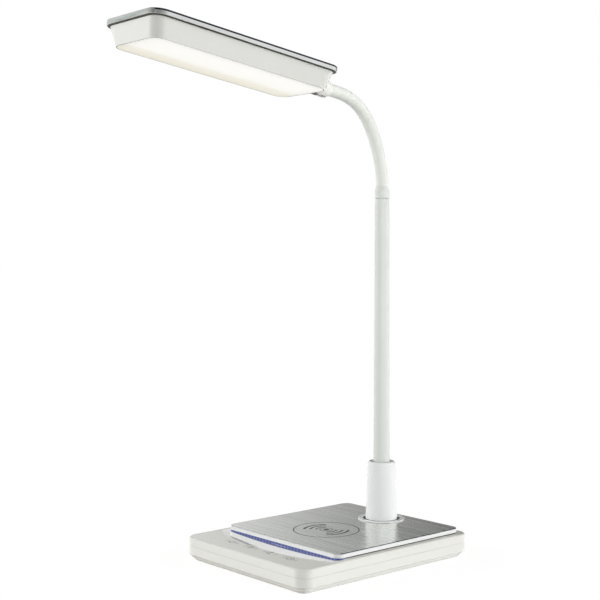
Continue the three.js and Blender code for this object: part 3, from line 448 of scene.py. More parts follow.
lower_profile = rounded([
    (chamfer_inset, case_bottom, 0),
    (0, chamfer_top, 1.6),
    (0, parting - parting_gap, parting_round),
    (case_wall, parting - parting_gap, 0.2),
    (case_wall, floor_top, 0.6),
    (case_wall + flange, floor_top, 0),
])
lower_mesh = mesh_from("lower_case_shell", box_rings(lower_profile, case_size, case_corner))
recess_profile = np.array([[0, case_bottom - 1], [0, pad_roof]])
recess_size = tuple(length + 2 * pad_gap for length in pad_size)
recess = mesh_from("recess", box_rings(recess_profile, recess_size, pad_corner + pad_gap))
screw_holes = [rod(screw_radius, -1, 3.8, at(x, y, 0), 32) for x in (-60, 60) for y in (-80, 80)]
along_y = Matrix.Rotation(math.radians(-90), 4, "X")
inlet_hole = rod(inlet_radius, -8, 3, at(0, rear, parting) @ along_y, 48)
lower_mesh = drilled(lower_mesh, recess, inlet_hole, *screw_holes)
piece("lower_case_shell", lower_mesh, "base", "white_shell", ["lower_case"])
normals = of_faces(lower_mesh, "normal")
# Faces that look down and to the front take the darker copy: painted shade under the leaning front.
more_finishes(lower_mesh, (normals[:, 2] < -0.3) & (normals[:, 1] < -0.4), "shaded_front_underside")

# %% [markdown]
# ## The upper half and what lies on it
# The bare strip at the front is hollowed by a shallow polished bowl. It mirrors the white edge of the plate. The
# plate stands on a step with a band round it, both dark as a painted shadow, so the plate seems to float.

# %% The upper half of the case
upper_profile = rounded([
    (case_wall + flange, case_top - case_wall, 0),
    (case_wall, case_top - case_wall, 0.6),
    (case_wall, parting + parting_gap, 0.2),
    (0, parting + parting_gap, parting_round),
    (0, case_top, top_round),
    (case_corner, case_top, 0),
])
slab_front = slab_y - slab_size[1] / 2
dish_depth, dish_reach = 1.15, (76.5, 22.5)


def dish(sides=96):
    """A shallow bowl: at a share s of its reach, the depth left is depth (1 - s^2), and s runs on past 1 so that
    the bowl's rim pierces the flat top that it is cut from."""
    angle = np.linspace(0, 2 * np.pi, sides, endpoint=False)
    share = np.concatenate([np.linspace(0.02, 0.985, 20), [1.1, 1.1]])[:, None]
    x = dish_reach[0] * share * np.cos(angle)
    y = slab_front + dish_reach[1] * share * np.sin(angle)
    z = case_top - dish_depth * (1 - share**2) + 0 * angle
    z[-1] += 5
    return np.stack([x, y, z], -1)


upper_mesh = mesh_from("upper_case_shell", box_rings(upper_profile, case_size, case_corner))
post_hole = rod(post_hole_radius, 10, 30, at(0, post_y, 0))
upper_mesh = drilled(upper_mesh, mesh_from("dish", dish()), inlet_hole, post_hole)
piece("upper_case_shell", upper_mesh, "base", "white_shell", ["upper_case"])
x, y, z = of_faces(upper_mesh, "center").T / MM
is_flat = of_faces(upper_mesh, "normal")[:, 2] > 0.99999
in_dish = (x / dish_reach[0]) ** 2 + ((y - slab_front) / dish_reach[1]) ** 2 < 1
in_dish &= (z > case_top - dish_depth - 0.1) & ~is_flat
upper_mesh.polygons.foreach_set("use_smooth", ~is_flat)
# The flat top takes the darker copy of the white shell, which paints the shade of the top; the bowl takes the
# polished finish.
more_finishes(upper_mesh, np.where(is_flat, 2, in_dish), "dish_gloss", "shaded_top_shell")

# %% Step and shadow gap
riser_profile = np.array([[riser_inset, case_top - dish_depth - 0.2], [riser_inset, riser_top]])
riser_mesh = mesh_from("riser", box_rings(riser_profile, slab_size, slab_corner, slab_y))
# The step and the band round it are dark plastic: painted shadow under the plate.
piece("shaded_plate_step", drilled(riser_mesh, post_hole), "base", "dark_plastic")
gap_out, gap_in, gap_low, gap_high = 0.35, 2.8, case_top - 0.1, 22.2
gap_profile = np.array([[gap_out, gap_low], [gap_out, gap_high], [gap_in, gap_high], [gap_in, gap_low]])
gap_rings = box_rings(gap_profile, slab_size, slab_corner, slab_y)
piece("shadow_gap", mesh_from("shadow_gap", gap_rings, joined=True), "base", "dark_plastic")

# %% [markdown]
# ## The charging plate
# A thick white slab with polished edges floats over the case, and a thin sheet with a brushed face lies on it.
# The edge of the sheet is dark, a painted reflection, which draws the fine line round the plate, and pale along the
# front, painted light.

# %% Slab, sheet and trim ring
slab_low, slab_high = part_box("charging_slab")
slab_bottom, slab_top = slab_low.z / MM - 0.35, slab_high.z / MM
plate_hole_radius = 19.3
sheet_low, sheet_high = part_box("brushed_sheet")
sheet_bottom, sheet_top = sheet_low.z / MM, sheet_high.z / MM
edge_round = 0.7
FLAT_REACH = 8  # how far a flat face runs in before its cap
slab_profile = rounded([
    (FLAT_REACH, slab_bottom, 0),
    (0, slab_bottom, edge_round),
    (0, slab_top, edge_round),
    (FLAT_REACH, slab_top, 0),
])
slab_mesh = mesh_from("charging_slab_polished", box_rings(slab_profile, slab_size, slab_corner, slab_y))
plate_hole = rod(plate_hole_radius, 20, 27, at(0, post_y, 0))
slab_mesh = drilled(slab_mesh, plate_hole)
piece("charging_slab_polished", slab_mesh, "base", "white_gloss", ["charging_slab"])
under_top = slab_bottom + 0.3
# The slab's lowest faces take the dark plastic: a painted shadow line under the plate's edge.
more_finishes(slab_mesh, of_faces(slab_mesh, "center")[:, 2] < under_top * MM, "dark_plastic")

EDGE_BELOW = 0.98  # a normal with a smaller upward share belongs to an edge
sheet_inset = 0.25
sheet_profile = rounded([
    (FLAT_REACH, sheet_bottom, 0),
    (sheet_inset, sheet_bottom, 0),
    (sheet_inset, sheet_top, 0.15),
    (FLAT_REACH, sheet_top, 0),
], steps=2)
sheet_mesh = mesh_from("brushed_plate", box_rings(sheet_profile, slab_size, slab_corner, slab_y))
sheet_mesh = drilled(sheet_mesh, plate_hole)
piece("brushed_plate", sheet_mesh, "base", "plate_film", ["brushed_sheet"])
normals = of_faces(sheet_mesh, "normal")
is_edge = normals[:, 2] < EDGE_BELOW
is_front = is_edge & (normals[:, 1] < -0.5)
# The sheet's edges take the dark finish, a painted reflection, and along the front the pale one, painted light.
more_finishes(sheet_mesh, np.where(is_front, 2, is_edge), "dark_edge", "cut_edge")

ring_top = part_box("post_trim_ring")[1].z / MM
ring_bottom, ring_in, ring_waist, ring_out = 21.9, 17.0, 19.0, 21.5
ring_profile = rounded([
    (ring_waist, ring_bottom, 0),
    (ring_waist, sheet_top + 0.1, 0),
    (ring_out, sheet_top + 0.1, 0),
    (ring_out, ring_top, 0.4),
    (ring_in, ring_top, 0.4),
    (ring_in, ring_bottom, 0),
], closed=True)
ring_mesh = mesh_from("trim_ring", round_rings(ring_profile), joined=True, place=at(0, post_y, 0))
piece("trim_ring", ring_mesh, "base", "white_gloss", ["post_trim_ring"])

# %% [markdown]
# ## Flat strokes of ink
# The ring in the middle of the plate shows where the phone goes, and four small signs mark the touch keys. Ink is
# flat, so each stroke is a very low ribbon: a rectangle as wide as the pen, carried along its path.

# %% Helpers for strokes
INK_MM = 0.03


def ribbon(path, width, low, high, closed=False):
    """A low ribbon along a flat path. It widens by half the width to each side, square to the path."""
    path = np.asarray(path, float)
    if closed:
        along = np.roll(path, -1, 0) - np.roll(path, 1, 0)
    else:
        along = np.gradient(path, axis=0)
    across = np.stack([-along[:, 1], along[:, 0]], 1) / np.linalg.norm(along, axis=1)[:, None]
    left, right = path + across * width / 2, path - across * width / 2
    one = np.ones((len(path), 1))
    corners = ((left, low), (right, low), (right, high), (left, high))
    return np.stack([np.hstack([side, one * z]) for side, z in corners], 1)


def arc(centre, radius, start, end, steps=48):
    """Points on a circle from one angle to another, in degrees."""
    angle = np.radians(np.linspace(start, end, steps))
    return np.stack([centre[0] + radius * np.cos(angle), centre[1] + radius * np.sin(angle)], 1)


def ring_path(centre, radius, steps=72):
    return arc(centre, radius, 0, 360 * (1 - 1 / steps), steps)


def line(start, end):
    return np.linspace(start, end, 3)


def strokes(name, drawn, low):
    """Joins strokes, each a (path, width, closed), into one mesh."""
    points, faces, count = [], [], 0
    for path, width, closed in drawn:
        mesh = mesh_from(name, ribbon(path, width, low, low + INK_MM, closed), joined=closed)
        flat = np.empty(len(mesh.vertices) * 3)
        mesh.vertices.foreach_get("co", flat)
        points.append(flat.reshape(-1, 3))
        faces += [[index + count for index in face.vertices] for face in mesh.polygons]
        count += len(mesh.vertices)
        bpy.data.meshes.remove(mesh)
    mesh = bpy.data.meshes.new(name)
    mesh.from_pydata(np.concatenate(points).tolist(), [], faces)
    return mesh

# %% [markdown]
# ## The charging mark and the signs of the keys
# The mark is plain: a ring with a dot in the middle and three arcs to each side, which stand for the field of the
# coil. The signs are the common ones for on and off, brightness, colour and timer.

# %% Ink on the plate and on the keys
moulded("ink", (56, 62, 68), 0.5, drift=0.1)
moulded("key_ink", (72, 78, 88), 0.5, drift=0.1)
mark, half_turn = (0.6, -2.5), 42
drawn = [(ring_path(mark, 29.2, 120), 1.0, True), (ring_path(mark, 5.6), 0.8, True)]
drawn.append((ring_path(mark, 1.3, 24), 2.6, True))
for radius, width in ((9.2, 1.5), (14.4, 1.8), (19.8, 2.1)):
    for side in (0, 180):
        drawn.append((arc(mark, radius, side - half_turn, side + half_turn), width, False))
piece("charging_mark", strokes("charging_mark", drawn, sheet_top), "base", "plate_film", finish="ink")

first_key_x, key_pitch, key_y, key_share = -33, 25.7, -82.0, (0.88, 0.62)
zero = (0, 0)
sides = [(arc(zero, 8.2, side - 24, side + 24), 0.5, False) for side in (0, 180)]
rays = [(line(way * 3.4, way * 5.2), 0.6, False) for way in arc(zero, 1, 0, 315, 8)]
signs = [
    [(arc(zero, 4.0, 120, 420), 0.7, False), (line((0, 1.4), (0, 5.4)), 0.7, False)],
    [(ring_path(zero, 2.2, 32), 0.7, True), *rays],
    [(arc(zero, 4.2, 60, 300), 0.7, False), (arc((2.85, 0), 3.7, 97, 263), 0.6, False)],
    [(ring_path(zero, 4.4, 48), 0.65, True), (line(zero, (0, 3)), 0.6, False), (line(zero, (2.2, 0)), 0.6, False)],
]
drawn = []
for number, sign in enumerate(signs):
    place = (first_key_x + key_pitch * number, key_y)
    drawn += [(path * key_share + place, width, closed) for path, width, closed in sides + sign]
piece("touch_signs", strokes("touch_signs", drawn, case_top), "base", "white_shell", finish="key_ink")

# %% [markdown]
# ## The light line
# A clear strip under the plate's front edge glows blue. It is a ribbon along the slab's own outline, a little
# inside it, from one side round both front corners to the other side. Fine ribs in the strip break up the light.

# %% Light line
tree, shader = new_material("blue_light", Roughness=0.25, Emission_Strength=0.3)
place = add(tree, "TexCoord").outputs["Object"]
ribs = add(tree, "TexWave", {"Vector": place, "Scale": 75.0, "Distortion": 0.3})
striped = shade(tree, ribs.outputs["Fac"], linear(58, 64, 118), linear(92, 106, 168))
wire(tree, shader, Base_Color=striped, Emission_Color=striped)

line_inset, line_width, line_return = 1.05, 2.0, 7.5
outline = box_rings(np.array([[line_inset, 0]]), slab_size, slab_corner, slab_y)[0, :, :2]
lower_half = outline[outline[:, 1] < slab_y]
lower_half = lower_half[np.argsort(np.arctan2(lower_half[:, 1] - slab_y, lower_half[:, 0]))]
side_x = slab_size[0] / 2 - line_inset
path = np.vstack([[(-side_x, slab_front + line_return)], lower_half, [(side_x, slab_front + line_return)]])
line_mesh = mesh_from("blue_line", ribbon(path, line_width, case_top - dish_depth - 0.15, under_top))
piece("blue_line", line_mesh, "base", "blue_light", ["light_line"])

# %% [markdown]
# ## Post, stem and collar
# The post is a turned plastic socket with a soft rim and a wide mouth, and the stem stands deep inside it. The
# collar at the top of the stem steps down to the neck with a short cone. All three turn about the post's axis.

# %% Post, stem and collar
post_low, post_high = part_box("post_socket")
stem_low, stem_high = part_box("stem_tube")
collar_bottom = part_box("neck_ferrule")[0].z / MM
post_at = at(0, post_y, 0)
post_top, stem_top, collar_top = post_high.z / MM, stem_high.z / MM, 333.6
foot_top = sheet_top + 0.5
stem_foot_radius, stem_top_radius, neck_radius = 7.6, 6.65, 5.6
post_bottom, flange_top, mouth_floor = post_low.z / MM, post_low.z / MM + 3, post_top - 5
socket_radius, socket_floor, foot_bore, bore_top, wire_hole = 7.9, 44, 6.3, 27, 3.5
post_profile = rounded([
    (foot_bore, post_bottom, 0),
    (19.4, post_bottom, 0.4),
    (19.4, flange_top, 0.4),
    (15.9, flange_top, 0),
    (15.9, foot_top, 0.4),
    (14.65, foot_top, 0.15),
    (12.9, post_top, 2.4),
    (9.6, post_top, 0.8),
    (9.6, mouth_floor, 0.3),
    (socket_radius, mouth_floor, 0),
    (socket_radius, socket_floor, 0),
    (wire_hole, socket_floor, 0),
    (wire_hole, bore_top, 0),
    (foot_bore, bore_top, 0),
], closed=True)
post_mesh = mesh_from("post_shell", round_rings(post_profile), joined=True, place=post_at)
# The post takes the darker copy of the white gloss: painted shade.
piece("post_shell", post_mesh, "post", "white_gloss", ["post_socket"], "post_gloss")
# Faces below the top of the foot take the dark plastic: a painted shadow in the gap between the post and the trim
# ring.
more_finishes(post_mesh, of_faces(post_mesh, "center")[:, 2] < foot_top * MM + 1e-5, "dark_plastic")

bore = stem_top_radius - 1.6
stem_bottom = stem_low.z / MM
stem_radii = [stem_foot_radius, stem_foot_radius, stem_top_radius, bore, bore]
stem_profile = np.stack([stem_radii, [stem_bottom, post_top, stem_top, stem_top, stem_bottom]], 1)
stem_mesh = mesh_from("stem_painted", round_rings(stem_profile, 64), joined=True, place=post_at)
piece("stem_painted", stem_mesh, "post", "painted_tube", ["stem_tube"])

collar_foot, collar_lip, inner_bore = stem_top + 0.3, neck_radius - 1.2, 1.8
collar_profile = rounded([
    (inner_bore, collar_bottom, 0),
    (bore - 0.3, collar_bottom, 0),
    (bore - 0.3, collar_foot, 0),
    (stem_top_radius, collar_foot, 0.2),
    (stem_top_radius, collar_top - 4.6, 1.2),
    (neck_radius + 0.1, collar_top, 0.2),
    (collar_lip, collar_top, 0),
    (collar_lip, collar_foot, 0),
    (inner_bore, collar_foot, 0),
], closed=True)
collar_mesh = mesh_from("collar", round_rings(collar_profile, 64), joined=True, place=post_at)
piece("collar", collar_mesh, "post", "painted_tube", ["neck_ferrule"])

# %% [markdown]
# ## The neck's sleeve
# The neck bends at eleven balls. Its sleeve is one skin on the real lamp, and here it is a chain of twelve short
# lengths, one for each link, with a ball between neighbours, so that nothing tears at any bend. A length
# follows a cubic curve from ball to ball with the directions m0 and m1 at its ends:
# P(t) = (2t^3-3t^2+1) A + (t^3-2t^2+t) m0 + (3t^2-2t^3) B + (t^3-t^2) m1. Its lower end is a ball and its upper
# end a socket. Both lips are set back by r tan(a / 2), with a the sharpest bend, so that they just meet there.

# %% Neck sleeve
neck_joints = [joint for joint in frame["joints"] if joint["name"].startswith("neck_")]
balls = np.array([joint["pos_m"] for joint in neck_joints]) / MM
tilt_pivot = np.array(joints["head_tilt"]["pos_m"]) / MM
end_way = tilt_pivot - balls[-1]
end_way /= np.linalg.norm(end_way)
sleeve_start = balls[0] - np.array([0, 0, 5.2])
sleeve_end = balls[-1] + end_way * 14.1
stops = np.vstack([sleeve_start, balls, sleeve_end])
middles = np.vstack([sleeve_start, (balls[1:] + balls[:-1]) / 2, sleeve_end])
ways = np.diff(middles, axis=0)
ways = np.vstack([[0, 0, 1], ways / np.linalg.norm(ways, axis=1, keepdims=True), end_way])
bodies = ["post"] + [f"link_{number:02d}" for number in range(1, 11)] + ["neck_end"]
sharpest = max(abs(angle) for joint in neck_joints for angle in joint["range_deg"])
set_back = neck_radius * math.tan(math.radians(sharpest / 2)) + 0.02
ball_gap = 0.05
POLE = math.radians(-88)


def sleeve_rings(start, end, way_in, way_out, has_ball, has_socket, sides=48):
    """Rings square to the curve, each with a centre, a direction and a radius. Those of the ball and the socket
    have their centre at R sin f from the joint along its direction, and their radius is R cos f. X is square to
    the whole curve, which lies in the plane of Y and Z, and up is the direction's cross product with X."""
    span = np.linalg.norm(end - start)
    low, high = (set_back / span if has_ball else 0), 1 - (set_back / span if has_socket else 0)
    t = np.linspace(low, high, 13)[:, None]
    m0, m1 = way_in * span, way_out * span
    centre = (2 * t**3 - 3 * t**2 + 1) * start + (t**3 - 2 * t**2 + t) * m0
    centre = centre + (3 * t**2 - 2 * t**3) * end + (t**3 - t**2) * m1
    way = 6 * (t - t**2) * (end - start) + (3 * t**2 - 4 * t + 1) * m0 + (3 * t**2 - 2 * t) * m1
    way /= np.linalg.norm(way, axis=1, keepdims=True)
    radius = np.full(len(t), neck_radius)
    if has_ball:
        ball = neck_radius - ball_gap
        f = np.linspace(POLE, math.asin(set_back / ball), 24)
        centre = np.vstack([start + ball * np.sin(f)[:, None] * way_in, centre])
        way = np.vstack([np.broadcast_to(way_in, (len(f), 3)), way])
        radius = np.concatenate([ball * np.cos(f), radius])
    if has_socket:
        f = np.linspace(-math.asin(set_back / neck_radius), POLE, 20)
        centre = np.vstack([centre, end + neck_radius * np.sin(f)[:, None] * way_out])
        way = np.vstack([way, np.broadcast_to(way_out, (len(f), 3))])
        radius = np.concatenate([radius, neck_radius * np.cos(f)])
    across = np.broadcast_to([1.0, 0, 0], way.shape)
    up = np.cross(way, across)
    angle = np.linspace(0, 2 * np.pi, sides, endpoint=False)
    spokes = across[:, None] * np.cos(angle)[:, None] + up[:, None] * np.sin(angle)[:, None]
    return centre[:, None] + radius[:, None, None] * spokes


links = [[]] + [["neck_" + body] for body in bodies[1:-1]] + [["neck_end_link"]]
for number, body in enumerate(bodies):
    start, end = stops[number], stops[number + 1]
    rings = sleeve_rings(start, end, ways[number], ways[number + 1], number > 0, number < len(balls))
    piece(f"sleeve_{number:02d}", mesh_from("sleeve", rings), body, "neck_sleeve", links[number])
print("sleeve lengths in mm:", np.linalg.norm(np.diff(stops, axis=0), axis=1).round(1))
print("lips set back by", round(set_back, 2), "mm")

# %% [markdown]
# ## The coupler
# The coupler grips the end of the neck and carries the head on a cross pin. It is a turned cup that flares
# towards the head. Seen from the side its end is round about the pin, so that the head can tilt. That end is
# worked out and not cut: on a cylinder of radius R about Z, a point at distance r and angle t lies at height
# pivot + sqrt(R^2 - (r sin t)^2). A small drop near the rim softens the edge, and a slot takes the head's tongue.

# %% Coupler
end_turn = math.atan2(-end_way[1], end_way[2])
end_at = at(*balls[-1]) @ Matrix.Rotation(end_turn, 4, "X")
pivot_reach = np.linalg.norm(tilt_pivot - balls[-1])
coupler_start, coupler_radius, cuff_radius = 11.6, 8.25, 6.5
slot_half, pin_hole_radius = 3.3, 2.3
cup = rounded([
    (5.95, coupler_start, 0),
    (cuff_radius, coupler_start, 0.2),
    (cuff_radius, coupler_start + 1, 0.6),
    (coupler_radius, coupler_start + 3.6, 1.2),
    (coupler_radius, pivot_reach - 2, 0),
])


def round_end(sides=96):
    """Rings over the round end: (r cos t, r sin t, pivot + sqrt(R^2 - (r sin t)^2) - drop)."""
    angle = np.linspace(0, 2 * np.pi, sides, endpoint=False)
    radius = coupler_radius - np.array([0, 0.06, 0.2, 0.42, 0.75, 1.4, 2.6, 4.2, 6, 7.6])[:, None]
    drop = np.array([0.75, 0.47, 0.24, 0.09, 0, 0, 0, 0, 0, 0])[:, None]
    x, y = radius * np.cos(angle), radius * np.sin(angle)
    return np.stack([x, y, pivot_reach + np.sqrt(coupler_radius**2 - y**2) - drop], -1)


cup_mesh = mesh_from("coupler", np.concatenate([round_rings(cup), round_end()]), place=end_at)
slot_mesh = block((-slot_half, -12, pivot_reach - 7.7), (slot_half, 12, 40), end_at)
grip = rod(neck_radius + 0.1, 5, 14.4, end_at, 48)
pin_at = at(*tilt_pivot) @ Matrix.Rotation(math.radians(90), 4, "Y")
cup_mesh = drilled(cup_mesh, grip, slot_mesh, rod(pin_hole_radius, -12, 12, pin_at, 32))
# The coupler takes the darker copy of the white shell: painted shade.
piece("coupler", cup_mesh, "neck_end", "white_shell", ["head_coupler"], "coupler_shell")

# %% [markdown]
# ## The head's own frame
# The head leans up a little from the coupler. Its shells are drawn in a frame of their own, whose origin is the
# edge of the lid nearest the neck, with the free end towards -Y and the top of the lid at zero. The first of them
# is the tongue's nose, which is round about the pin.

# %% The head's frame
head_lean = math.radians(7.73)
free_way = np.array([0, -math.cos(head_lean), math.sin(head_lean)])
up_way = np.array([0, math.sin(head_lean), math.cos(head_lean)])
lid_from_pivot = (7.55, 10.29)
head_origin = tilt_pivot + lid_from_pivot[0] * free_way + lid_from_pivot[1] * up_way
head_at = at(*head_origin) @ Matrix.Rotation(-head_lean, 4, "X")
head_size = (76.0, 192.0)
head_mid = -head_size[1] / 2
lid_corner, housing_corner = 12.0, 10.0
lid_rim, head_deep = 4.5, 20.7
housing_top = -4.85
top_inset, bottom_inset = 2.8, 7.15
mouth_inset = bottom_inset + 0.7
nose_turn = np.radians(np.linspace(-95, -5, 25))[:, None]
nose_x, nose_radius = np.array([-2.95, 2.95, 2.95, -2.95]), np.array([7.42, 7.42, 7.62, 7.62])
nose_y = lid_from_pivot[0] + nose_radius * np.cos(nose_turn)
nose_z = -lid_from_pivot[1] + nose_radius * np.sin(nose_turn)
nose_mesh = mesh_from("tongue_nose", np.stack([nose_x + 0 * nose_turn, nose_y, nose_z], -1), place=head_at)
# The nose takes the coupler's darker copy of the white shell: painted shade.
piece("tongue_nose", nose_mesh, "head", "white_shell", finish="coupler_shell")
print("head frame at", head_origin.round(2))

# %% [markdown]
# ## Lid and gasket
# The lid is brushed metal. A dark line along its long top edges is a painted reflection, and its ends, where the
# brush turned, are painted darker than its sides as shade. A dark seal fills the gap between it and the housing; its
# colour is partly the seal's own and partly the painted shadow under the lid.

# %% Lid and gasket
dark_line = 1.7
lid_sheet = 1.2
lid_profile = rounded([
    (FLAT_REACH, -lid_sheet, 0),
    (lid_sheet, -lid_sheet, 0),
    (lid_sheet, -lid_rim, 0),
    (0, -lid_rim, 0.15),
    (0, -dark_line, 0),
    (0, 0, 0.95),
    (FLAT_REACH, 0, 0),
], steps=4)
lid_mesh = mesh_from("lid", box_rings(lid_profile, head_size, lid_corner, head_mid), place=head_at)
piece("lid", lid_mesh, "head", "lid_metal", ["metal_lid"])
normals = of_faces(lid_mesh, "normal")
height = (of_faces(lid_mesh, "center") / MM - head_origin) @ up_way
upward = normals @ up_way
is_end = (abs(normals @ free_way) > 0.8) & (upward < EDGE_BELOW)
is_edge = (height > -dark_line) & (upward > -0.5) & (upward < EDGE_BELOW) & ~is_end
# The dark line along the long top edges is a painted reflection, and the ends take the darker copy as painted shade.
more_finishes(lid_mesh, np.where(is_edge, 1, np.where(is_end, 2, 0)), "dark_edge", "lid_end")

seal_bottom, seal_step, seal_top, seal_in = housing_top + 0.08, -lid_rim - 0.03, -1.4, 3.6
gasket_profile = rounded([
    (0.7, seal_bottom, 0.15),
    (0.7, seal_step, 0),
    (1.3, seal_step, 0),
    (1.3, seal_top, 0),
    (seal_in, seal_top, 0),
    (seal_in, seal_bottom, 0),
], steps=2, closed=True)
gasket_rings = box_rings(gasket_profile, head_size, lid_corner, head_mid)
gasket_mesh = mesh_from("gasket", gasket_rings, joined=True, place=head_at)
# The gasket draws the dark line under the lid: partly the seal itself, partly painted shadow.
piece("gasket", gasket_mesh, "head", "dark_rubber", ["lid_gasket"], "seal_and_shadow")

# %% [markdown]
# ## The housing
# The housing tapers all round. The taper draws in each corner with its sides, so the corner keeps one radius:
# each ring gets the corner radius of the outline that was drawn in so far.

# %% Housing
def taper(z):
    """How far the housing's outer face is drawn in at a height."""
    return np.interp(z, [-head_deep, housing_top], [bottom_inset, top_inset])


def tapered_rings(profile):
    """Carries a profile round the head, with each ring's corner set by how far the taper drew it in."""
    inset = profile[:, 0]
    corner = np.maximum(housing_corner - (inset - taper(profile[:, 1])), 0.5) + inset
    return box_rings(profile, head_size, corner, head_mid)


spigot_top, spigot_out, spigot_in, ledge_top, ledge_bottom, ledge_in = -1.9, 3.9, 5.3, -17.9, -18.7, 10.5
housing_profile = rounded([
    (bottom_inset, -head_deep, 0.25),
    (top_inset, housing_top, 0.3),
    (spigot_out, housing_top, 0),
    (spigot_out, spigot_top, 0.2),
    (spigot_in, spigot_top, 0.2),
    (spigot_in, -6.45, 0),
    (8.16, ledge_top, 0),
    (ledge_in, ledge_top, 0),
    (ledge_in, ledge_bottom, 0),
    (mouth_inset, ledge_bottom, 0),
    (mouth_inset, -head_deep, 0.15),
], steps=3, closed=True)
housing_mesh = mesh_from("housing", tapered_rings(housing_profile), joined=True, place=head_at)
tongue_slot = block((-slot_half, -8.3, -14), (slot_half, 2, -5.85), head_at)
housing_mesh = drilled(housing_mesh, tongue_slot)
# The housing takes the darker copy of the white shell: painted shade.
piece("housing", housing_mesh, "head", "white_shell", ["head_housing"], "head_shell")
# Faces that look down, round the mouth and on the ledge, take the darker copy: painted shade.
more_finishes(housing_mesh, of_faces(housing_mesh, "normal") @ up_way < -0.6, "shaded_mouth_rim")

# %% [markdown]
# ## The opal face
# The face is lit from inside, from its two long sides. It is nearly white over most of its width and turns to a
# warm cream along one long side. A rim nine millimetres wide is a little duller all round, because less light
# is spread there. All of it is worked out from the place on the face, in the head's own frame.

# %% Opal face
CLOUD_MM, CLOUD_SHARE, RIM_MM, RIM_LEVEL = 30, 0.1, 9, 0.9
CREAM_END, WHITE_START = -17.5 * MM, -5 * MM
tree, shader = new_material("opal_face", Roughness=0.4, Emission_Strength=0.375)
place = add(tree, "TexCoord").outputs["Object"]
turned = head_at.to_euler().x
to_head = add(tree, "Mapping", {"Vector": place, "Rotation": (-turned, 0, 0)})
parts = add(tree, "SeparateXYZ", {0: to_head.outputs[0]})
origin = Matrix.Rotation(-turned, 4, "X") @ head_at.translation
half_width, half_length = head_size[0] / 2 - mouth_inset, head_size[1] / 2 - mouth_inset
across = parts.outputs["X"]
along = calc(tree, "SUBTRACT", parts.outputs["Y"], origin.y + head_mid * MM)
cloud = spread(tree, grain(tree, CLOUD_MM), -CLOUD_SHARE, CLOUD_SHARE)
whiteness = calc(tree, "ADD", spread(tree, across, 0, 1, CREAM_END, WHITE_START), cloud)
body = shade(tree, whiteness, linear(236, 231, 214), linear(253, 252, 247))
edge_x = calc(tree, "SUBTRACT", half_width * MM, calc(tree, "ABSOLUTE", across))
edge_y = calc(tree, "SUBTRACT", half_length * MM, calc(tree, "ABSOLUTE", along))
rim = spread(tree, calc(tree, "MINIMUM", edge_x, edge_y), RIM_LEVEL, 1, 0, RIM_MM * MM)
glow = add(tree, "Mix", {"Factor": 1.0, 6: body, 7: rim}, data_type="RGBA", blend_type="MULTIPLY").outputs[2]
wire(tree, shader, Base_Color=glow, Emission_Color=glow)

face_inset, face_reach, face_low, face_high = mouth_inset + 0.15, 14, -head_deep + 0.05, -19.0
face_profile = rounded([
    (face_reach, face_low, 0),
    (face_inset, face_low, 0.2),
    (face_inset, face_high, 0),
    (face_reach, face_high, 0),
], steps=2)
face_mesh = mesh_from("opal_face", tapered_rings(face_profile), place=head_at)
piece("opal_face", face_mesh, "head", "opal_face", ["diffuser"])

# %% [markdown]
# ## What stays as it came
# The inner parts keep their own solids. Each gets the finish that the record names for it.

# %% Finishes of the remaining parts
slot_of = {part["node"]: part["material_slot"] for part in frame["record"]["subparts"]}
shown = [name for name, node in frame["nodes"].items() if not node.hide_render]
for name in shown:
    mesh = frame["nodes"][name].data
    mesh.materials.clear()
    mesh.materials.append(finishes[slot_of[name]])
print(len(shown), "parts keep their own solid")

# %% [markdown]
# ## The studio
# The light comes from two large soft screens, one to the right and one to the left of the lamp as the camera
# sees it, so that faces which look straight at the camera are a little darker than those which look aside. What
# a polished or brushed surface mirrors is a room of its own, with bright and dark walls in turn. What the camera
# sees directly is plain white.

# %% Sky
world = bpy.data.worlds.new("studio")
scene.world = world
world.use_nodes = True
tree = world.node_tree
tree.nodes.clear()
way = add(tree, "TexCoord").outputs["Generated"]
to_camera = (math.sin(camera_turn), -math.cos(camera_turn), 0.0)
to_right = (math.cos(camera_turn), math.sin(camera_turn), 0.0)
ahead = add(tree, "VectorMath", {0: way, 1: to_camera}, operation="DOT_PRODUCT").outputs["Value"]
aside = add(tree, "VectorMath", {0: way, 1: to_right}, operation="DOT_PRODUCT").outputs["Value"]
height = add(tree, "SeparateXYZ", {0: way}).outputs["Z"]

SCREEN_RIGHT, SCREEN_LEFT, SCREEN_FOCUS, SCREEN_TURN = 5.8, 6.15, 4.0, math.radians(12)
ROOM_LIGHT, TOP_SHARE, CEILING_LEVEL = 0.19, 0.37, 0.6
across = calc(tree, "ADD", calc(tree, "MULTIPLY", aside, math.cos(SCREEN_TURN)),
              calc(tree, "MULTIPLY", ahead, math.sin(SCREEN_TURN)))
right_screen = calc(tree, "POWER", calc(tree, "MAXIMUM", across, 0.0), SCREEN_FOCUS)
left_screen = calc(tree, "POWER", calc(tree, "MAXIMUM", calc(tree, "MULTIPLY", across, -1.0), 0.0), SCREEN_FOCUS)
screens = calc(tree, "ADD", calc(tree, "MULTIPLY", right_screen, SCREEN_RIGHT),
               calc(tree, "MULTIPLY", left_screen, SCREEN_LEFT))
room = calc(tree, "ADD", screens, ROOM_LIGHT)
soft_light = calc(tree, "MULTIPLY", room, spread(tree, height, 1.0, TOP_SHARE, 0, 1))

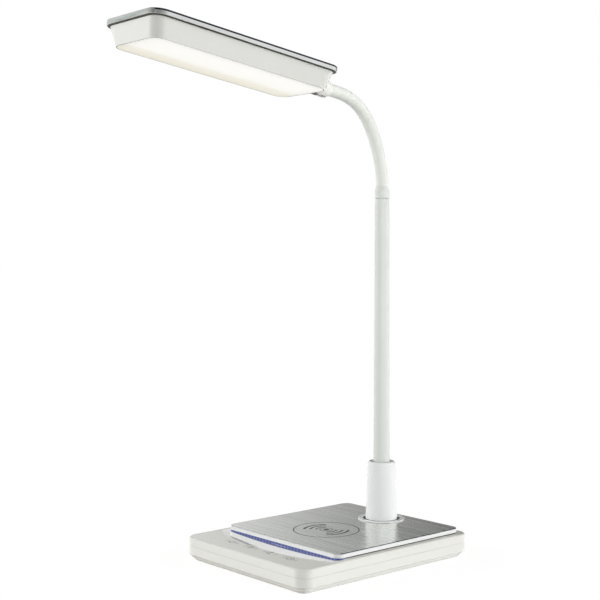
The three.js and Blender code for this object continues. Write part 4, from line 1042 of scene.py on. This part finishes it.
turn = spread(tree, calc(tree, "ARCTAN2", aside, ahead), 0, 1, -math.pi, math.pi)
walls = add(tree, "ValToRGB", {"Fac": turn})
levels = [(0.0, 0.52), (0.018, 1.0), (0.06, 1.0), (0.12, 1.0), (0.25, 0.85), (0.38, 0.35), (0.5, 0.12), (0.62, 0.3),
          (0.71, 0.9), (0.8, 1.0), (0.87, 0.5), (0.94, 0.1), (0.98, 0.15), (1.0, 0.5)]
ramp = walls.color_ramp
for position, level in levels:
    stop = ramp.elements[0] if position == 0 else ramp.elements[-1] if position == 1 else ramp.elements.new(position)
    stop.color = (level, level, level, 1)
ceiling = spread(tree, height, 0, 1, 0.35, 0.75)
mirrored = add(tree, "Mix", {"Factor": ceiling, 2: walls.outputs[0], 3: CEILING_LEVEL}).outputs[0]

path = add(tree, "LightPath")
is_mirror = calc(tree, "MAXIMUM", path.outputs["Is Glossy Ray"], path.outputs["Is Transmission Ray"])
lit = add(tree, "Mix", {"Factor": is_mirror, 2: soft_light, 3: mirrored}).outputs[0]
seen = add(tree, "Mix", {"Factor": path.outputs["Is Camera Ray"], 2: lit, 3: 1.0})
backdrop = add(tree, "Background", {"Color": (1, 1, 1, 1), "Strength": seen.outputs[0]})
add(tree, "OutputWorld", {"Surface": backdrop.outputs[0]})
print("sky:", len(tree.nodes), "nodes,", len(ramp.elements), "stops round the room")

# %% [markdown]
# ## The floor
# The floor is pale and matt. To the camera, and to what mirrors it, most of its brightness is its own, and the
# rest is reflected light. So it reads as white, and the lamp still darkens it a little where it stands.

# %% Floor
MATT_GREY, OWN_LIGHT, DIM_GREY, HALF_FLOOR = 0.86, 0.86, 0.24, 30.0
floor_material = bpy.data.materials.new("floor")
floor_material.use_nodes = True
tree = floor_material.node_tree
tree.nodes.clear()
path = add(tree, "LightPath")
is_seen = calc(tree, "MAXIMUM", path.outputs["Is Camera Ray"], path.outputs["Is Glossy Ray"])
matte = add(tree, "BsdfDiffuse", {"Color": (MATT_GREY, MATT_GREY, MATT_GREY, 1)})
own = add(tree, "Emission", {"Color": (1, 1, 1, 1), "Strength": OWN_LIGHT})
dim = add(tree, "BsdfDiffuse", {"Color": (DIM_GREY, DIM_GREY, DIM_GREY, 1)})
shown_floor = add(tree, "AddShader", {0: own.outputs[0], 1: dim.outputs[0]})
surface = add(tree, "MixShader", {"Fac": is_seen, 1: matte.outputs[0], 2: shown_floor.outputs[0]})
add(tree, "OutputMaterial", {"Surface": surface.outputs[0]})

floor_mesh = bpy.data.meshes.new("floor")
corners = [(x * HALF_FLOOR, y * HALF_FLOOR, 0) for x, y in ((-1, -1), (1, -1), (1, 1), (-1, 1))]
floor_mesh.from_pydata(corners, [], [(0, 1, 2, 3)])
floor_mesh.materials.append(floor_material)
floor = new_object("floor", floor_mesh)
scene.view_settings.view_transform = "Standard"

# %% [markdown]
# ## Soft boxes for single parts
# The stem, the neck and the post are slim and round, so they fall off into shade towards the camera. A large
# soft box beside the camera fills that in. A second one, to the left, lifts the free end of the head. Each is
# linked to its own pieces alone, which keeps the light on the base as it is.

# %% Soft boxes
REACH, BOX_SIZE = 1.5, 1.2


def soft_box(name, watts, aside_degrees, height, lit_names):
    """A square light that looks level at the lamp. Its place is turned aside from the camera's own direction:
    (sin a, -cos a), with a the camera's turn and the turn aside taken together."""
    receivers = bpy.data.collections.new(name + "_parts")
    for made in list(scene.objects):
        if made.name.startswith(lit_names):
            receivers.objects.link(made)
    data = bpy.data.lights.new(name, "AREA")
    data.energy, data.size = watts, BOX_SIZE
    box = new_object(name, data)
    angle = camera_turn + math.radians(aside_degrees)
    box.location = (REACH * math.sin(angle), -REACH * math.cos(angle), height)
    box.rotation_euler = (math.radians(90), 0, angle)
    box.light_linking.receiver_collection = receivers


soft_box("round_fill", 15.5, 8, 0.12, ("sleeve_", "stem_", "collar", "coupler", "post_shell"))
soft_box("end_fill", 3.5, -88, 0.3, ("housing",))

# %% [markdown]
# ## The end
# The last cell only imports json.

# %% The end
import json
